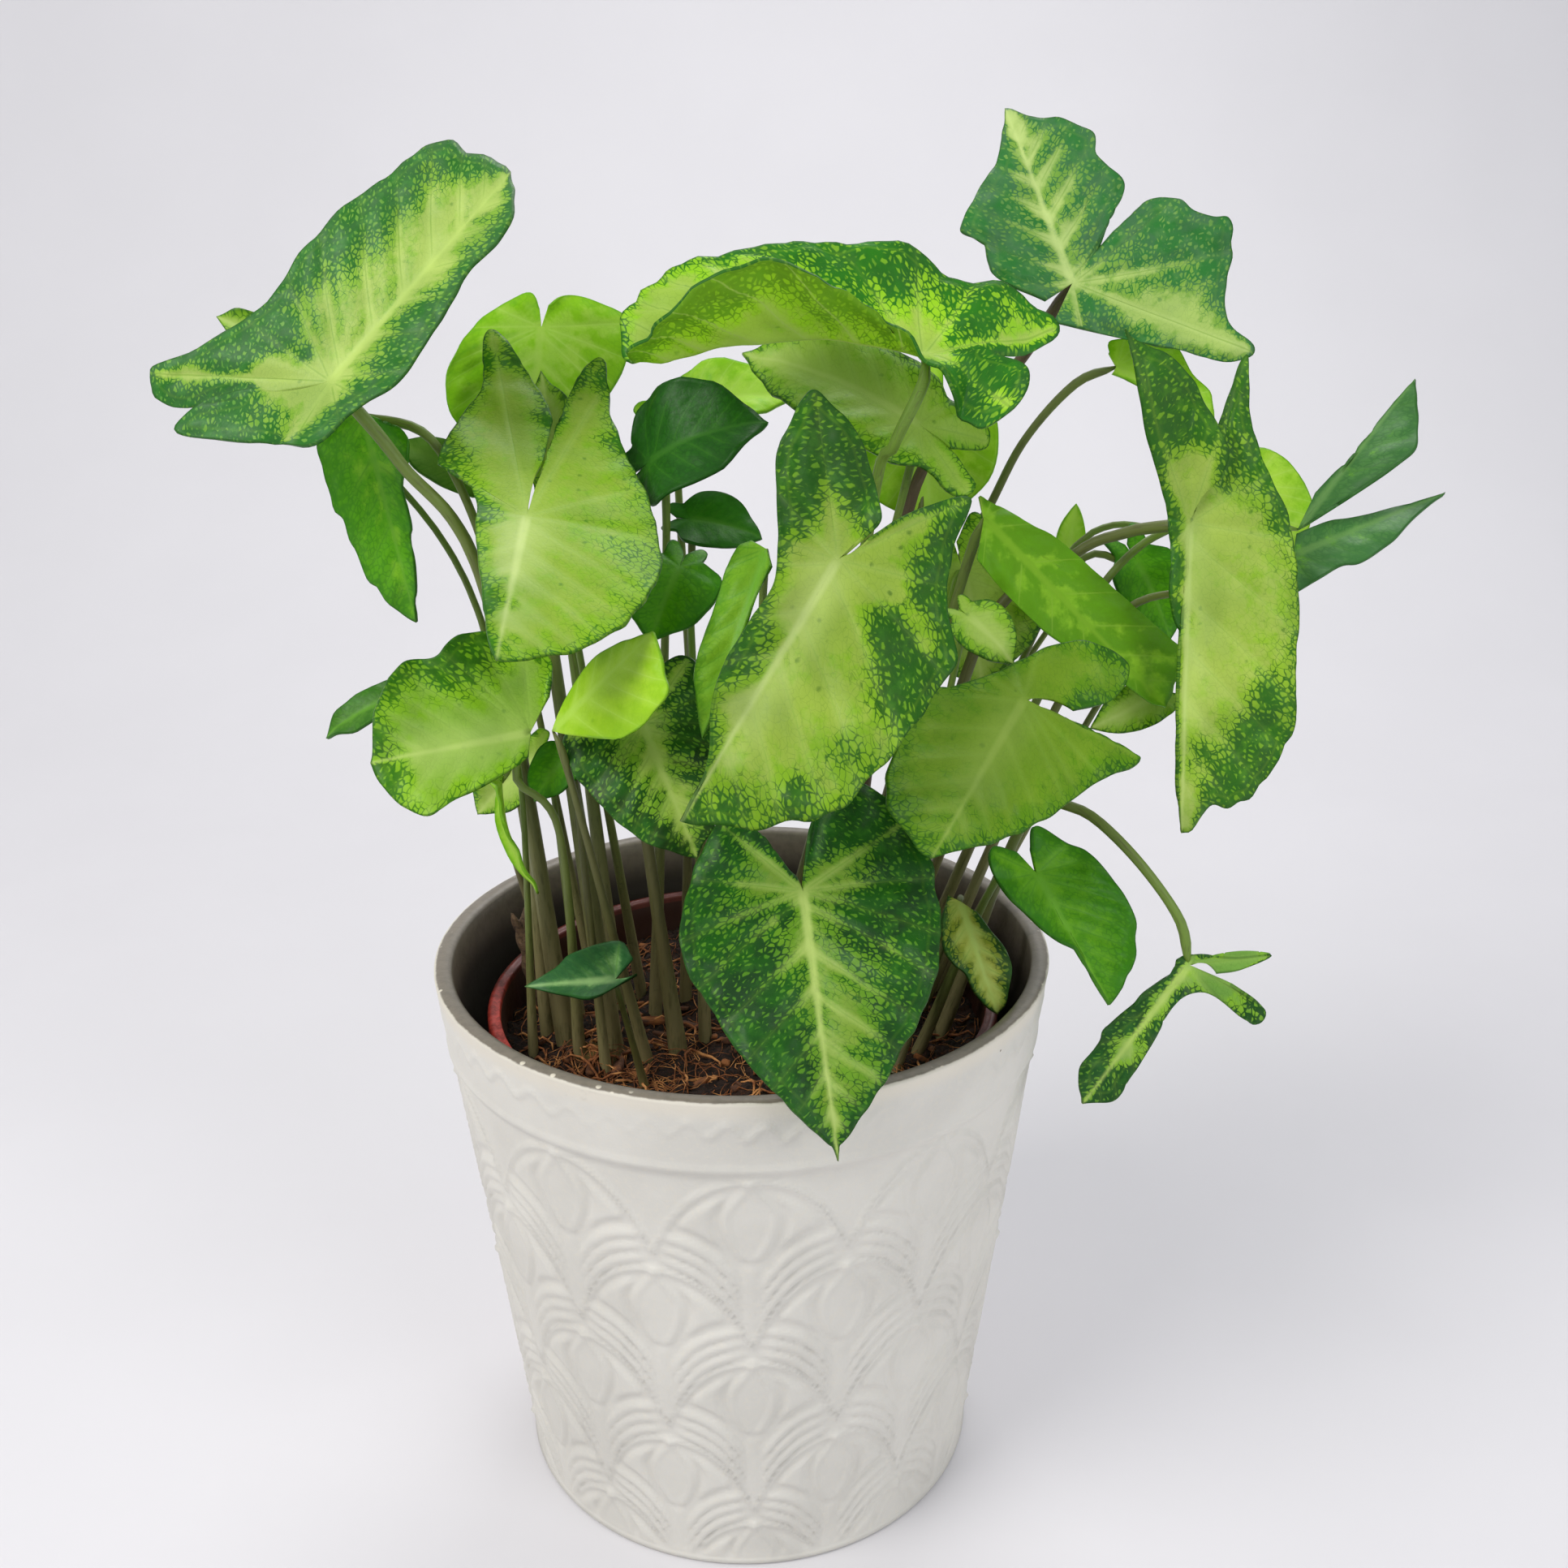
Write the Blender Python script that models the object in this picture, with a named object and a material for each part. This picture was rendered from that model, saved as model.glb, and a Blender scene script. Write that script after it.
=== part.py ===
# Arrowhead plant (Syngonium) in a plastic nursery pot, standing in a ceramic cachepot.
# Metres, +Z up. The origin is the centre of the cachepot's foot, and the viewer stands at -Y.

from math import cos, pi, radians, sin

import bmesh
import bpy
import numpy as np

MM = 0.001
GAP = 0.3  # mm, between pieces that touch

# Cachepot, in mm: a tapered ceramic shell with a raised band below its rim.
POT_HEIGHT = 130.0
POT_RIM_RADIUS = 70.0
POT_FOOT_RADIUS = 55.0
POT_BAND = 17.7
POT_BAND_STEP = 0.9
POT_BAND_EDGE = (-0.5, 0.3)  # its lower edge, from below it to above it
POT_WALL = 4.6
POT_FLOOR = 6.0
POT_FOOT_ROUND = 1.0
POT_INSIDE_ROUND = 3.0
POT_LIP_ROUND = (1.2, 1.6)  # inwards, down
POT_SIDES = 48

# Nursery pot, in mm: thin plastic with a turned lip.
GROW_TOP = 117.0
GROW_RIM_RADIUS = 57.0
GROW_FOOT_RADIUS = 43.0
GROW_WALL = 1.0
GROW_FLOOR = 1.4
GROW_LIP = 1.6
GROW_LIP_DEPTH = 4.0
GROW_LIP_ROUND = 0.6
GROW_SIDES = 40

# Potting mix, in mm.
SOIL_TOP = 108.0
SOIL_RIPPLE = 1.2
SOIL_RINGS = 3
SOIL_SIDES = 28
HOLE_DEPTH = 8.0
HOLE_CLEARANCE = 0.4
HOLE_SIDES = 6
LUMP_CENTRE = (-33, -13, 107.5)
LUMP_SIZE = (7, 6, 4)
CHIP = (7.0, 2.4, 2.4)
CHIP_COUNT = 9
CHIP_NEAREST = 32.0  # from the pot's axis
CHIP_SPREAD = 15.0
CHIP_SUNK = 0.6
CHIP_LEAN = 0.35  # rise per mm along a chip

# Dried stub of a cut stem, in mm.
STUB_POINTS = [(-49, 13, 102), (-50, 14, 110), (-51, 14, 120), (-53, 16, 131)]
STUB_RADIUS = 2.2

# Leaves, in mm.
BLADE_THICKNESS = 0.7
STEM_STEP = 21.0
STEM_FOOT_DEPTH = 7.0
STEM_FOOT_RISE = 4.0
STEM_SINK = 0.5
FOLD_EASE = 0.03  # softens the fold at the midrib, as a share of the blade's length
ANGLE_STEP = 0.012  # the least turn, in radians, from one point of a margin to the next
SINUS_GAP = 0.06  # the sinus stays open by this much, in radians
WAIST_ANGLE = 112.0
# The photo was taken from here: a blade's relief rises towards it, so its outline stays as seen.
EYE = (0, -335, 296)

COLOURS = {
    "mottled": (0.12, 0.27, 0.05),
    "pale": (0.42, 0.56, 0.2),
    "plain": (0.1, 0.25, 0.05),
    "bright": (0.3, 0.55, 0.08),
}

# What a leaf has unless its entry says otherwise. Angles are in degrees, and shape values that
# aren't in mm are shares of the blade's length. A pair is (minus side, plus side): with the tip
# up and the upper face seen, minus is left and plus is right.
LEAF = dict(
    stem=(), foot_radius=1.6, seat_radius=1.1, rows=2,
    width=0.6, lobe_length=0.45, lobe_angle=152, lobe_width=0.13, waist=0.27,
    fold=12, lobe_fold=None, cup=0.0, lift=0.0, arch=0.1, droop=0.0, tail=10, bend=35,
    wave=0.02, ripples=6, phase=0.0, turn=0, sinus=180, folded=False, length=None,
)

# Each leaf: seat is where the stem meets the blade, tip is the blade's point, face is the way its
# upper side looks, foot is where the stem leaves the soil, and stem lists points from there up.
# A side lists the margin from the tip round to the sinus, as (across, along) from the seat.
LEAVES = {
    "top_left": dict(
        tone="mottled", seat=(-80, -2, 256), tip=(-44, 18, 295),
        face=(-0.35, -0.75, 0.55), foot=(-41, -5), stem=[(-52, -2, 211), (-68, -2, 240)],
        minus_side=[
            (16, 55), (22, 51), (24, 42), (28, 29), (28, 16), (27, 6), (33, -10), (39, -20),
            (28, -23), (16, -12),
        ],
        plus_side=[
            (4, 53), (9, 43), (8, 35), (10, 26), (12, 16), (13, 8), (9, -3), (7, -12), (-4, -18),
            (-22, -26), (-22, -18), (-15, -10),
        ],
        sinus=222, fold=14, arch=0.06, droop=0.2, lift=(-0.1, 0.25), rows=3, foot_radius=2.4,
        seat_radius=1.6,
    ),
    "left_hanging": dict(
        tone="plain", seat=(-77, 10, 248), tip=(-69, 6, 205),
        face=(-0.5, -0.75, 0.3), foot=(-46, 1), stem=[(-49, 2, 199), (-61, 8, 240)],
        minus_side=[
            (3, 33), (5, 25), (6, 15), (10, 6), (4, 2),
        ],
        plus_side=[
            (8, 38), (12, 27), (14, 18), (15, 6), (13, -1), (5, -2),
        ],
        fold=12, arch=0.05, foot_radius=1.7, seat_radius=1.2,
    ),
    "back_left_round": dict(
        tone="bright", seat=(-43, 44, 262), tip=(-47, 34, 233),
        face=(0.1, -0.9, 0.3), foot=(-30, 10), stem=[(-38, 26, 192), (-44, 40, 219)],
        minus_side=[
            (9, 24), (17, 11), (21, -3), (13, -7), (5, -8), (1, -5),
        ],
        plus_side=[
            (9, 30), (18, 21), (19, 12), (14, 1), (4, -7), (1, -4),
        ],
        fold=6, arch=0.08, foot_radius=2.0, seat_radius=1.4,
    ),
    "left_front_pale": dict(
        tone="pale", seat=(-42, -10, 230), tip=(-44, -50, 212),
        face=(0.1, -0.75, 0.65), foot=(-30, -10), stem=[(-37, -4, 177), (-41, 0, 214)],
        minus_side=[
            (9, 41), (17, 35), (23, 26), (27, 12), (26, 0), (22, -15), (17, -27), (13, -40),
            (9, -59), (5, -54), (4, -43), (3, -28),
        ],
        plus_side=[
            (2, 39), (5, 25), (9, 7), (10, -1), (13, -9), (18, -9), (20, -17), (18, -31),
            (15, -44), (17, -62), (15, -65), (11, -60), (6, -51), (0, -39), (-1, -32), (0, -20),
        ],
        sinus=178, fold=10, arch=0.08, droop=-0.2, rows=3, foot_radius=2.6, seat_radius=1.8,
    ),
    "centre": dict(
        tone="pale", seat=(19, -34, 226), tip=(-11, -60, 184),
        face=(0.2, -0.85, 0.4), foot=(10, -10), stem=[(17, -12, 166), (18, -16, 203)],
        minus_side=[
            (6, 55), (14, 50), (21, 43), (25, 35), (27, 25), (28, 17), (29, 10), (29, 3), (23, -4),
            (18, -14), (16, -25), (8, -17), (3, -7),
        ],
        plus_side=[
            (1, 46), (6, 36), (8, 28), (8, 19), (8, 10), (12, 2), (16, -4), (20, -11), (21, -19),
            (21, -25), (17, -25), (9, -23), (4, -19), (-3, -12), (-1, -7),
        ],
        sinus=210, fold=12, arch=0.08, droop=0.2, rows=3, foot_radius=2.6, seat_radius=1.8,
    ),
    "front_low": dict(
        tone="mottled", seat=(12, -44, 162), tip=(17, -80, 123),
        face=(0.05, -0.85, 0.5), foot=(6, -22), stem=[(12, -34, 148)],
        minus_side=[
            (4, 47), (11, 42), (15, 37), (18, 28), (22, 22), (26, 9), (26, -2), (23, -13),
            (17, -20), (10, -22), (4, -15), (2, -8),
        ],
        plus_side=[
            (3, 48), (10, 42), (15, 33), (18, 24), (24, 12), (24, 2), (21, -6), (15, -16),
            (11, -15), (7, -13), (4, -7), (1, -3),
        ],
        fold=8, arch=0.06, droop=-0.1, rows=3, foot_radius=2.2, seat_radius=1.5,
    ),
    "right_front": dict(
        tone="pale", seat=(58, -22, 194), tip=(36, -52, 172),
        face=(0.25, -0.75, 0.6), foot=(24, -8), stem=[(39, -8, 155), (55, -12, 184)],
        minus_side=[
            (4, 38), (10, 30), (15, 22), (18, 14), (22, 5), (27, -4), (24, -5), (12, -3),
        ],
        plus_side=[
            (8, 41), (13, 38), (16, 30), (17, 21), (18, 12), (14, 8), (8, -1), (4, -9), (0, -16),
            (-6, -22), (-12, -23), (-16, -22), (-16, -13), (-10, -5),
        ],
        sinus=226, fold=8, arch=0.06, droop=0.1, lift=(-0.05, 0.1), rows=3, foot_radius=2.2,
        seat_radius=1.5,
    ),
    "right_hanging": dict(
        tone="mottled", seat=(95, 0, 225), tip=(95, -14, 160),
        face=(0.3, -0.9, 0.3), foot=(33, 5),
        stem=[(53, 14, 194), (74, 15, 215), (84, 10, 221), (89, 6, 223)],
        minus_side=[
            (7, 61), (13, 60), (20, 55), (27, 45), (27, 34), (27, 24), (27, 13), (25, 1), (20, -9),
            (16, -17), (14, -23), (13, -34), (10, -29), (7, -14),
        ],
        plus_side=[
            (-4, 59), (-7, 55), (-2, 45), (-5, 38), (-4, 27), (2, 21), (4, 15), (4, 7), (5, -1),
            (7, -9), (10, -17), (12, -25), (14, -33), (17, -37), (8, -34), (1, -30), (-5, -22),
            (-9, -15), (-7, -9),
        ],
        sinus=205, fold=18, arch=0.05, droop=0.1, lift=(-0.05, 0.25), rows=3, foot_radius=2.2,
        seat_radius=1.5,
    ),
    "top_right": dict(
        tone="mottled", seat=(72, 22, 272), tip=(59, 40, 307),
        face=(0.1, -0.8, 0.6), foot=(22, 11), stem=[(38, 26, 221), (55, 32, 244), (64, 32, 256)],
        minus_side=[
            (2, 37), (6, 30), (10, 27), (16, 21), (19, 17), (15, 14), (16, 9), (15, 5), (7, -2),
        ],
        plus_side=[
            (6, 37), (11, 36), (17, 31), (16, 26), (19, 21), (19, 17), (15, 13), (12, 10), (13, 6),
            (8, 0), (13, 4), (20, 11), (24, 13), (31, 11), (32, 7), (39, 4), (36, -5), (32, -12),
            (31, -19), (34, -24), (28, -26), (19, -21), (7, -15), (-7, -7),
        ],
        sinus=245, fold=8, arch=0.06, droop=0.1, rows=3, foot_radius=2.4, seat_radius=1.6,
    ),
    "top_centre": dict(
        tone="mottled", seat=(38, -2, 260), tip=(-20, -10, 259),
        face=(0, -0.1, 0.99), foot=(13, 6), stem=[(28, 0, 227), (32, -4, 242), (38, -4, 255)],
        minus_side=[
            (8, 57), (17, 50), (22, 40), (20, 28), (12, 16), (7, 7), (9, -1), (14, -7), (17, -14),
            (14, -20), (7, -20), (3, -12),
        ],
        plus_side=[
            (8, 58), (17, 50), (22, 38), (24, 24), (23, 10), (20, -4), (16, -17), (9, -27),
            (4, -18), (2, -7),
        ],
        folded=True, fold=48, lobe_fold=(-60, 45), lift=(0.4, 0.3), bend=35, tail=10, rows=3,
        foot_radius=2.2, seat_radius=1.5,
    ),
    "behind_top_centre": dict(
        tone="pale", seat=(39, 14, 244), tip=(2, 22, 258),
        face=(-0.1, -0.6, 0.8), foot=(6, 12), stem=[(36, 16, 227)],
        width=0.7, fold=5, bend=40, foot_radius=1.6, seat_radius=1.1,
    ),
    "bright_centre_back": dict(
        tone="bright", seat=(42, 40, 241), tip=(45, 32, 218),
        face=(0, -0.8, 0.6), foot=(15, 20), stem=[(40, 30, 209)],
        width=1.4, lobe_length=0.6, foot_radius=1.6, seat_radius=1.1,
    ),
    "dark_centre_left": dict(
        tone="plain", seat=(-18, 12, 237), tip=(7, 6, 246),
        face=(-0.1, -0.7, 0.7), foot=(-21, 7), stem=[(-15, 14, 224)],
        width=1.0, lobe_length=0.35, bend=50, foot_radius=1.6, seat_radius=1.1,
    ),
    "dark_second": dict(
        tone="plain", seat=(-10, 20, 223), tip=(6, 18, 219),
        face=(0, -0.7, 0.7), foot=(-14, 13), stem=[(-10, 20, 212)],
        width=0.9, lobe_length=0.4, foot_radius=1.5, seat_radius=1.0,
    ),
    "bright_back": dict(
        tone="bright", seat=(-12, 44, 243), tip=(14, 42, 247),
        face=(0, -0.6, 0.8), foot=(-8, 20), stem=[(-13, 36, 227)],
        width=0.8, lobe_length=0.5, foot_radius=1.6, seat_radius=1.1,
    ),
    "young_left": dict(
        tone="bright", seat=(-38, -20, 188), tip=(-16, -36, 213),
        face=(-0.2, -0.7, 0.7), foot=(-22, -15), stem=[(-35, -21, 178)],
        minus_side=[
            (4, 27), (6, 16), (3, 4),
        ],
        plus_side=[
            (9, 37), (14, 35), (14, 21), (6, 12),
        ],
        fold=-6, arch=0.1, foot_radius=1.5, seat_radius=1.0,
    ),
    "lower_left": dict(
        tone="pale", seat=(-43, -18, 187), tip=(-73, -32, 186),
        face=(-0.3, -0.8, 0.5), foot=(-37, -14), stem=[(-38, -19, 165), (-46, -21, 178)],
        minus_side=[
            (7, 31), (13, 26), (11, 19), (9, 12), (7, 6), (5, 2),
        ],
        plus_side=[
            (5, 31), (9, 30), (14, 27), (20, 21), (20, 15), (23, 11), (24, 3), (20, -5), (15, -9),
            (7, -6),
        ],
        fold=8, arch=0.06, rows=3, foot_radius=1.5, seat_radius=1.0,
    ),
    "mottled_low": dict(
        tone="mottled", seat=(-20, -16, 188), tip=(-9, -29, 163),
        face=(-0.1, -0.9, 0.4), foot=(-15, -12), stem=[(-22, -12, 180)],
        minus_side=[
            (7, 24), (12, 16), (15, 4), (15, -8), (9, -10), (4, -6),
        ],
        plus_side=[
            (5, 26), (11, 19), (15, 10), (17, 3), (16, -4), (7, -5),
        ],
        fold=10, arch=0.1, rows=3, foot_radius=2.2, seat_radius=1.5,
    ),
    "narrow_folded": dict(
        tone="plain", seat=(6, -24, 226), tip=(-7, -40, 193),
        face=(-0.5, -0.8, 0.3), foot=(0, -4), stem=[(5, -14, 210)],
        minus_side=[
            (1, 24), (1, 12), (2, 3),
        ],
        plus_side=[
            (4, 32), (7, 24), (7, 13), (7, 2), (4, -1),
        ],
        fold=20, arch=0.1, foot_radius=1.5, seat_radius=1.0,
    ),
    "shaded_mid": dict(
        tone="plain", seat=(-12, 0, 217), tip=(-18, -12, 204),
        face=(0, -0.7, 0.7), foot=(-9, -6), stem=[(-10, 2, 206)],
        width=1.1, lobe_length=0.4, foot_radius=1.5, seat_radius=1.0,
    ),
    "right_underside": dict(
        tone="plain", seat=(53, 8, 225), tip=(93, -4, 185),
        face=(0.3, -0.8, 0.5), foot=(21, 1), stem=[(48, 10, 207)],
        minus_side=[
            (6, 55), (12, 58), (14, 56), (13, 49), (12, 39), (11, 29), (10, 16), (6, 4), (3, -4),
        ],
        plus_side=[
            (2, 52), (3, 47), (4, 38), (8, 29), (9, 15), (8, 5),
        ],
        fold=-14, arch=0.06, rows=3, foot_radius=2.0, seat_radius=1.4,
    ),
    "right_behind_pale": dict(
        tone="pale", seat=(51, 24, 210), tip=(56, 21, 184),
        face=(0, -0.8, 0.6), foot=(30, 13), stem=[(47, 20, 200)],
        width=1.3, lobe_length=0.5, waist=0.5, foot_radius=1.5, seat_radius=1.0,
    ),
    "right_behind_dark": dict(
        tone="plain", seat=(91, 26, 211), tip=(98, 20, 194),
        face=(0.2, -0.8, 0.5), foot=(36, 22), stem=[(73, 26, 204)],
        width=0.9, lobe_length=0.5, foot_radius=1.5, seat_radius=1.0,
    ),
    "far_right_upper": dict(
        tone="plain", seat=(124, 16, 220), tip=(150, 26, 251),
        face=(-0.4, -0.6, 0.7), foot=(39, 14), stem=[(77, 16, 201), (103, 20, 222)],
        minus_side=[
            (-1, 35), (-2, 25), (1, 17), (2, 9),
        ],
        plus_side=[
            (6, 34), (10, 27), (8, 23), (3, 20), (1, 10),
        ],
        fold=10, arch=0.05, foot_radius=1.6, seat_radius=1.1,
    ),
    "far_right_lower": dict(
        tone="plain", seat=(122, 12, 215), tip=(158, 20, 227),
        face=(-0.1, -0.6, 0.8), foot=(42, 6), stem=[(78, 12, 194), (103, 14, 208)],
        minus_side=[
            (1, 30), (3, 18), (5, 11), (5, 4),
        ],
        plus_side=[
            (2, 30), (6, 21), (8, 12), (7, 7), (9, -5),
        ],
        fold=10, arch=0.05, foot_radius=1.6, seat_radius=1.1,
    ),
    "behind_right_hanging": dict(
        tone="bright", seat=(116, 30, 227), tip=(126, 24, 211),
        face=(0.2, -0.8, 0.5), foot=(30, 29), stem=[(75, 36, 207), (101, 36, 217)],
        minus_side=[
            (9, 15), (13, 10), (13, 0), (8, -6), (1, -5),
        ],
        plus_side=[
            (5, 16), (10, 10), (9, 4), (5, 0),
        ],
        fold=5, foot_radius=1.5, seat_radius=1.0,
    ),
    "behind_top_right": dict(
        tone="bright", seat=(84, 28, 254), tip=(105, 22, 242),
        face=(0.1, -0.8, 0.5), foot=(23, 21),
        stem=[(47, 30, 198), (59, 34, 224), (66, 34, 238), (76, 32, 250)],
        minus_side=[
            (6, 21), (8, 15), (12, 9), (10, 3), (5, -4), (2, -3),
        ],
        plus_side=[
            (2, 21), (2, 15), (1, 7), (2, 0),
        ],
        fold=8, arch=0.05, foot_radius=1.8, seat_radius=1.2,
    ),
    "low_right": dict(
        tone="plain", seat=(62, -24, 156), tip=(76, -38, 132),
        face=(0.5, -0.75, 0.4), foot=(40, -12), stem=[(55, -16, 151)],
        minus_side=[
            (8, 28), (12, 25), (17, 19), (18, 13), (17, 8), (15, 1), (11, -3), (6, -9), (2, -5),
        ],
        plus_side=[
            (-1, 26), (-1, 20), (1, 17), (5, 12), (9, 2), (10, -4), (7, -9), (2, -6),
        ],
        fold=10, arch=0.06, foot_radius=1.5, seat_radius=1.0,
    ),
    "pot_right": dict(
        tone="plain", seat=(47, -18, 147), tip=(54, -30, 126),
        face=(0.3, -0.8, 0.5), foot=(34, -20), stem=[(47, -12, 142)],
        minus_side=[
            (3, 23), (6, 18), (7, 14), (5, 8), (3, 3),
        ],
        plus_side=[
            (3, 20), (4, 15), (6, 12), (7, 8), (5, 2), (2, -2),
        ],
        fold=10, foot_radius=1.3, seat_radius=0.9,
    ),
    "trailing": dict(
        tone="mottled", seat=(95, -28, 136), tip=(72, -36, 107),
        face=(0.2, -0.85, 0.5), foot=(46, -4),
        stem=[(62, -6, 160), (71, -14, 167), (81, -22, 161), (92, -27, 147)],
        minus_side=[
            (5, 33), (5, 27), (4, 18), (3, 11), (4, 5), (9, 2), (19, 2), (19, -2), (10, -2),
        ],
        plus_side=[
            (5, 32), (5, 25), (6, 22), (4, 17), (4, 11), (2, 4), (2, -1), (-7, -7), (-13, -12),
            (-10, -6), (-6, -2),
        ],
        sinus=215, fold=8, arch=0.04, foot_radius=1.8, seat_radius=1.2,
    ),
    "on_soil": dict(
        tone="plain", seat=(-27, -30, 136), tip=(-45, -36, 138),
        face=(-0.2, -0.5, 0.85), foot=(-22, -26), stem=[],
        minus_side=[
            (3, 11), (4, 5), (-1, -5),
        ],
        plus_side=[
            (4, 12), (8, 7), (10, -3), (5, -5),
        ],
        fold=6, foot_radius=1.2, seat_radius=0.8,
    ),
    "young_rolled": dict(
        tone="bright", seat=(-51, -10, 173), tip=(-44, -14, 149),
        face=(-0.9, -0.3, 0.3), foot=(-48, -10), stem=[(-47, -8, 173)],
        width=0.16, lobe_length=0.05, fold=50, foot_radius=1.2, seat_radius=0.8,
    ),
    "dark_round_low": dict(
        tone="plain", seat=(-36, -12, 180), tip=(-43, -16, 171),
        face=(-0.3, -0.8, 0.5), foot=(-31, -18), stem=[(-35, -12, 174)],
        width=0.9, lobe_length=0.4, foot_radius=1.3, seat_radius=0.9,
    ),
    "under_left": dict(
        tone="pale", seat=(-46, 11, 172), tip=(-60, 10, 158),
        face=(-0.3, -0.9, 0.3), foot=(-39, 8), stem=[(-43, 11, 168)],
        width=0.7, lobe_length=0.3, foot_radius=1.2, seat_radius=0.8,
    ),
    "tip_behind_left": dict(
        tone="plain", seat=(-77, 18, 184), tip=(-94, 16, 175),
        face=(-0.3, -0.6, 0.7), foot=(-44, 13), stem=[(-64, 17, 184)],
        width=0.5, lobe_length=0.3, foot_radius=1.2, seat_radius=0.8,
    ),
    "small_wavy_left": dict(
        tone="plain", seat=(-57, 20, 233), tip=(-73, 22, 240),
        face=(-0.2, -0.8, 0.6), foot=(-36, 17), stem=[(-52, 18, 224)],
        width=0.6, lobe_length=0.4, foot_radius=1.3, seat_radius=0.9,
    ),
    "grey_between": dict(
        tone="pale", seat=(-38, 22, 230), tip=(-42, 30, 254),
        face=(0, -0.8, 0.6), foot=(-25, 18), stem=[(-39, 20, 220)],
        width=0.5, lobe_length=0.3, foot_radius=1.4, seat_radius=1.0,
    ),
    "grey_right": dict(
        tone="pale", seat=(93, 6, 185), tip=(77, 0, 180),
        face=(0.2, -0.8, 0.5), foot=(46, 14), stem=[(89, 14, 194)],
        width=0.6, lobe_length=0.4, foot_radius=1.3, seat_radius=0.9,
    ),
    "tip_behind_top": dict(
        tone="pale", seat=(-93, 16, 261), tip=(-107, 18, 267),
        face=(-0.2, -0.8, 0.5), foot=(-47, 20), stem=[(-57, 16, 203), (-80, 16, 242)],
        width=0.55, lobe_length=0.3, foot_radius=1.3, seat_radius=0.9,
    ),
    "two_tips": dict(
        tone="bright", seat=(79, 46, 205), tip=(81, 48, 220),
        face=(0.1, -0.9, 0.3), foot=(18, 38), stem=[(77, 44, 193)],
        width=0.5, lobe_length=0.2, foot_radius=1.3, seat_radius=0.9,
    ),
    "light_right_mid": dict(
        tone="pale", seat=(49, -2, 206), tip=(58, -8, 197),
        face=(0.1, -0.8, 0.6), foot=(31, -3), stem=[(48, 4, 197)],
        width=0.9, lobe_length=0.4, foot_radius=1.4, seat_radius=1.0,
    ),}


def material(name, colour, roughness, metallic=0.0):
    found = bpy.data.materials.get(name)
    if found:
        return found
    made = bpy.data.materials.new(name)
    made.use_nodes = True
    shader = made.node_tree.nodes["Principled BSDF"]
    shader.inputs["Base Color"].default_value = (*colour, 1.0)
    shader.inputs["Roughness"].default_value = roughness
    shader.inputs["Metallic"].default_value = metallic
    made.diffuse_color = (*colour, 1.0)
    return made


def object_from(name, points_mm, faces, finish=None):
    mesh = bpy.data.meshes.new(name)
    mesh.from_pydata([tuple(float(v) * MM for v in p) for p in points_mm], [], faces)
    mesh.update()
    made = bpy.data.objects.new(name, mesh)
    bpy.context.scene.collection.objects.link(made)
    if finish:
        mesh.materials.append(finish)
    return made


def face_outwards(made):
    shape = bmesh.new()
    shape.from_mesh(made.data)
    bmesh.ops.recalc_face_normals(shape, faces=shape.faces)
    shape.to_mesh(made.data)
    shape.free()


def apply_modifiers(made):
    """Keeps the evaluated mesh as the object's own."""
    graph = bpy.context.evaluated_depsgraph_get()
    mesh = bpy.data.meshes.new_from_object(made.evaluated_get(graph))
    made.modifiers.clear()
    old = made.data
    made.data = mesh
    mesh.name = made.name
    bpy.data.meshes.remove(old)


def boolean(made, others, operation, solver="EXACT"):
    """Joins or cuts with several objects at once, and removes them."""
    group = bpy.data.collections.new(made.name + "_others")
    bpy.context.scene.collection.children.link(group)
    for other in others:
        bpy.context.scene.collection.objects.unlink(other)
        group.objects.link(other)
    modifier = made.modifiers.new("Boolean", "BOOLEAN")
    modifier.operation = operation
    modifier.solver = solver
    modifier.operand_type = "COLLECTION"
    modifier.collection = group
    apply_modifiers(made)
    for other in others:
        bpy.data.objects.remove(other)
    bpy.data.collections.remove(group)


def lathe(name, profile_mm, sides, finish):
    """Turns a closed profile of (radius, height) about Z. Its first and last points are on the axis."""
    rings = profile_mm[1:-1]
    points = [(0, 0, profile_mm[0][1]), (0, 0, profile_mm[-1][1])]
    for radius, height in rings:
        for i in range(sides):
            turn = 2 * pi * i / sides
            points.append((radius * cos(turn), radius * sin(turn), height))
    faces = []
    last = 2 + (len(rings) - 1) * sides
    for i in range(sides):
        after = (i + 1) % sides
        faces.append((0, 2 + i, 2 + after))
        faces.append((1, last + after, last + i))
        for ring in range(len(rings) - 1):
            low = 2 + ring * sides
            high = low + sides
            faces.append((low + i, high + i, high + after, low + after))
    made = object_from(name, points, faces, finish)
    face_outwards(made)
    return made


def radius_at(height, foot, rim, top):
    return foot + (rim - foot) * height / top


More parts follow.
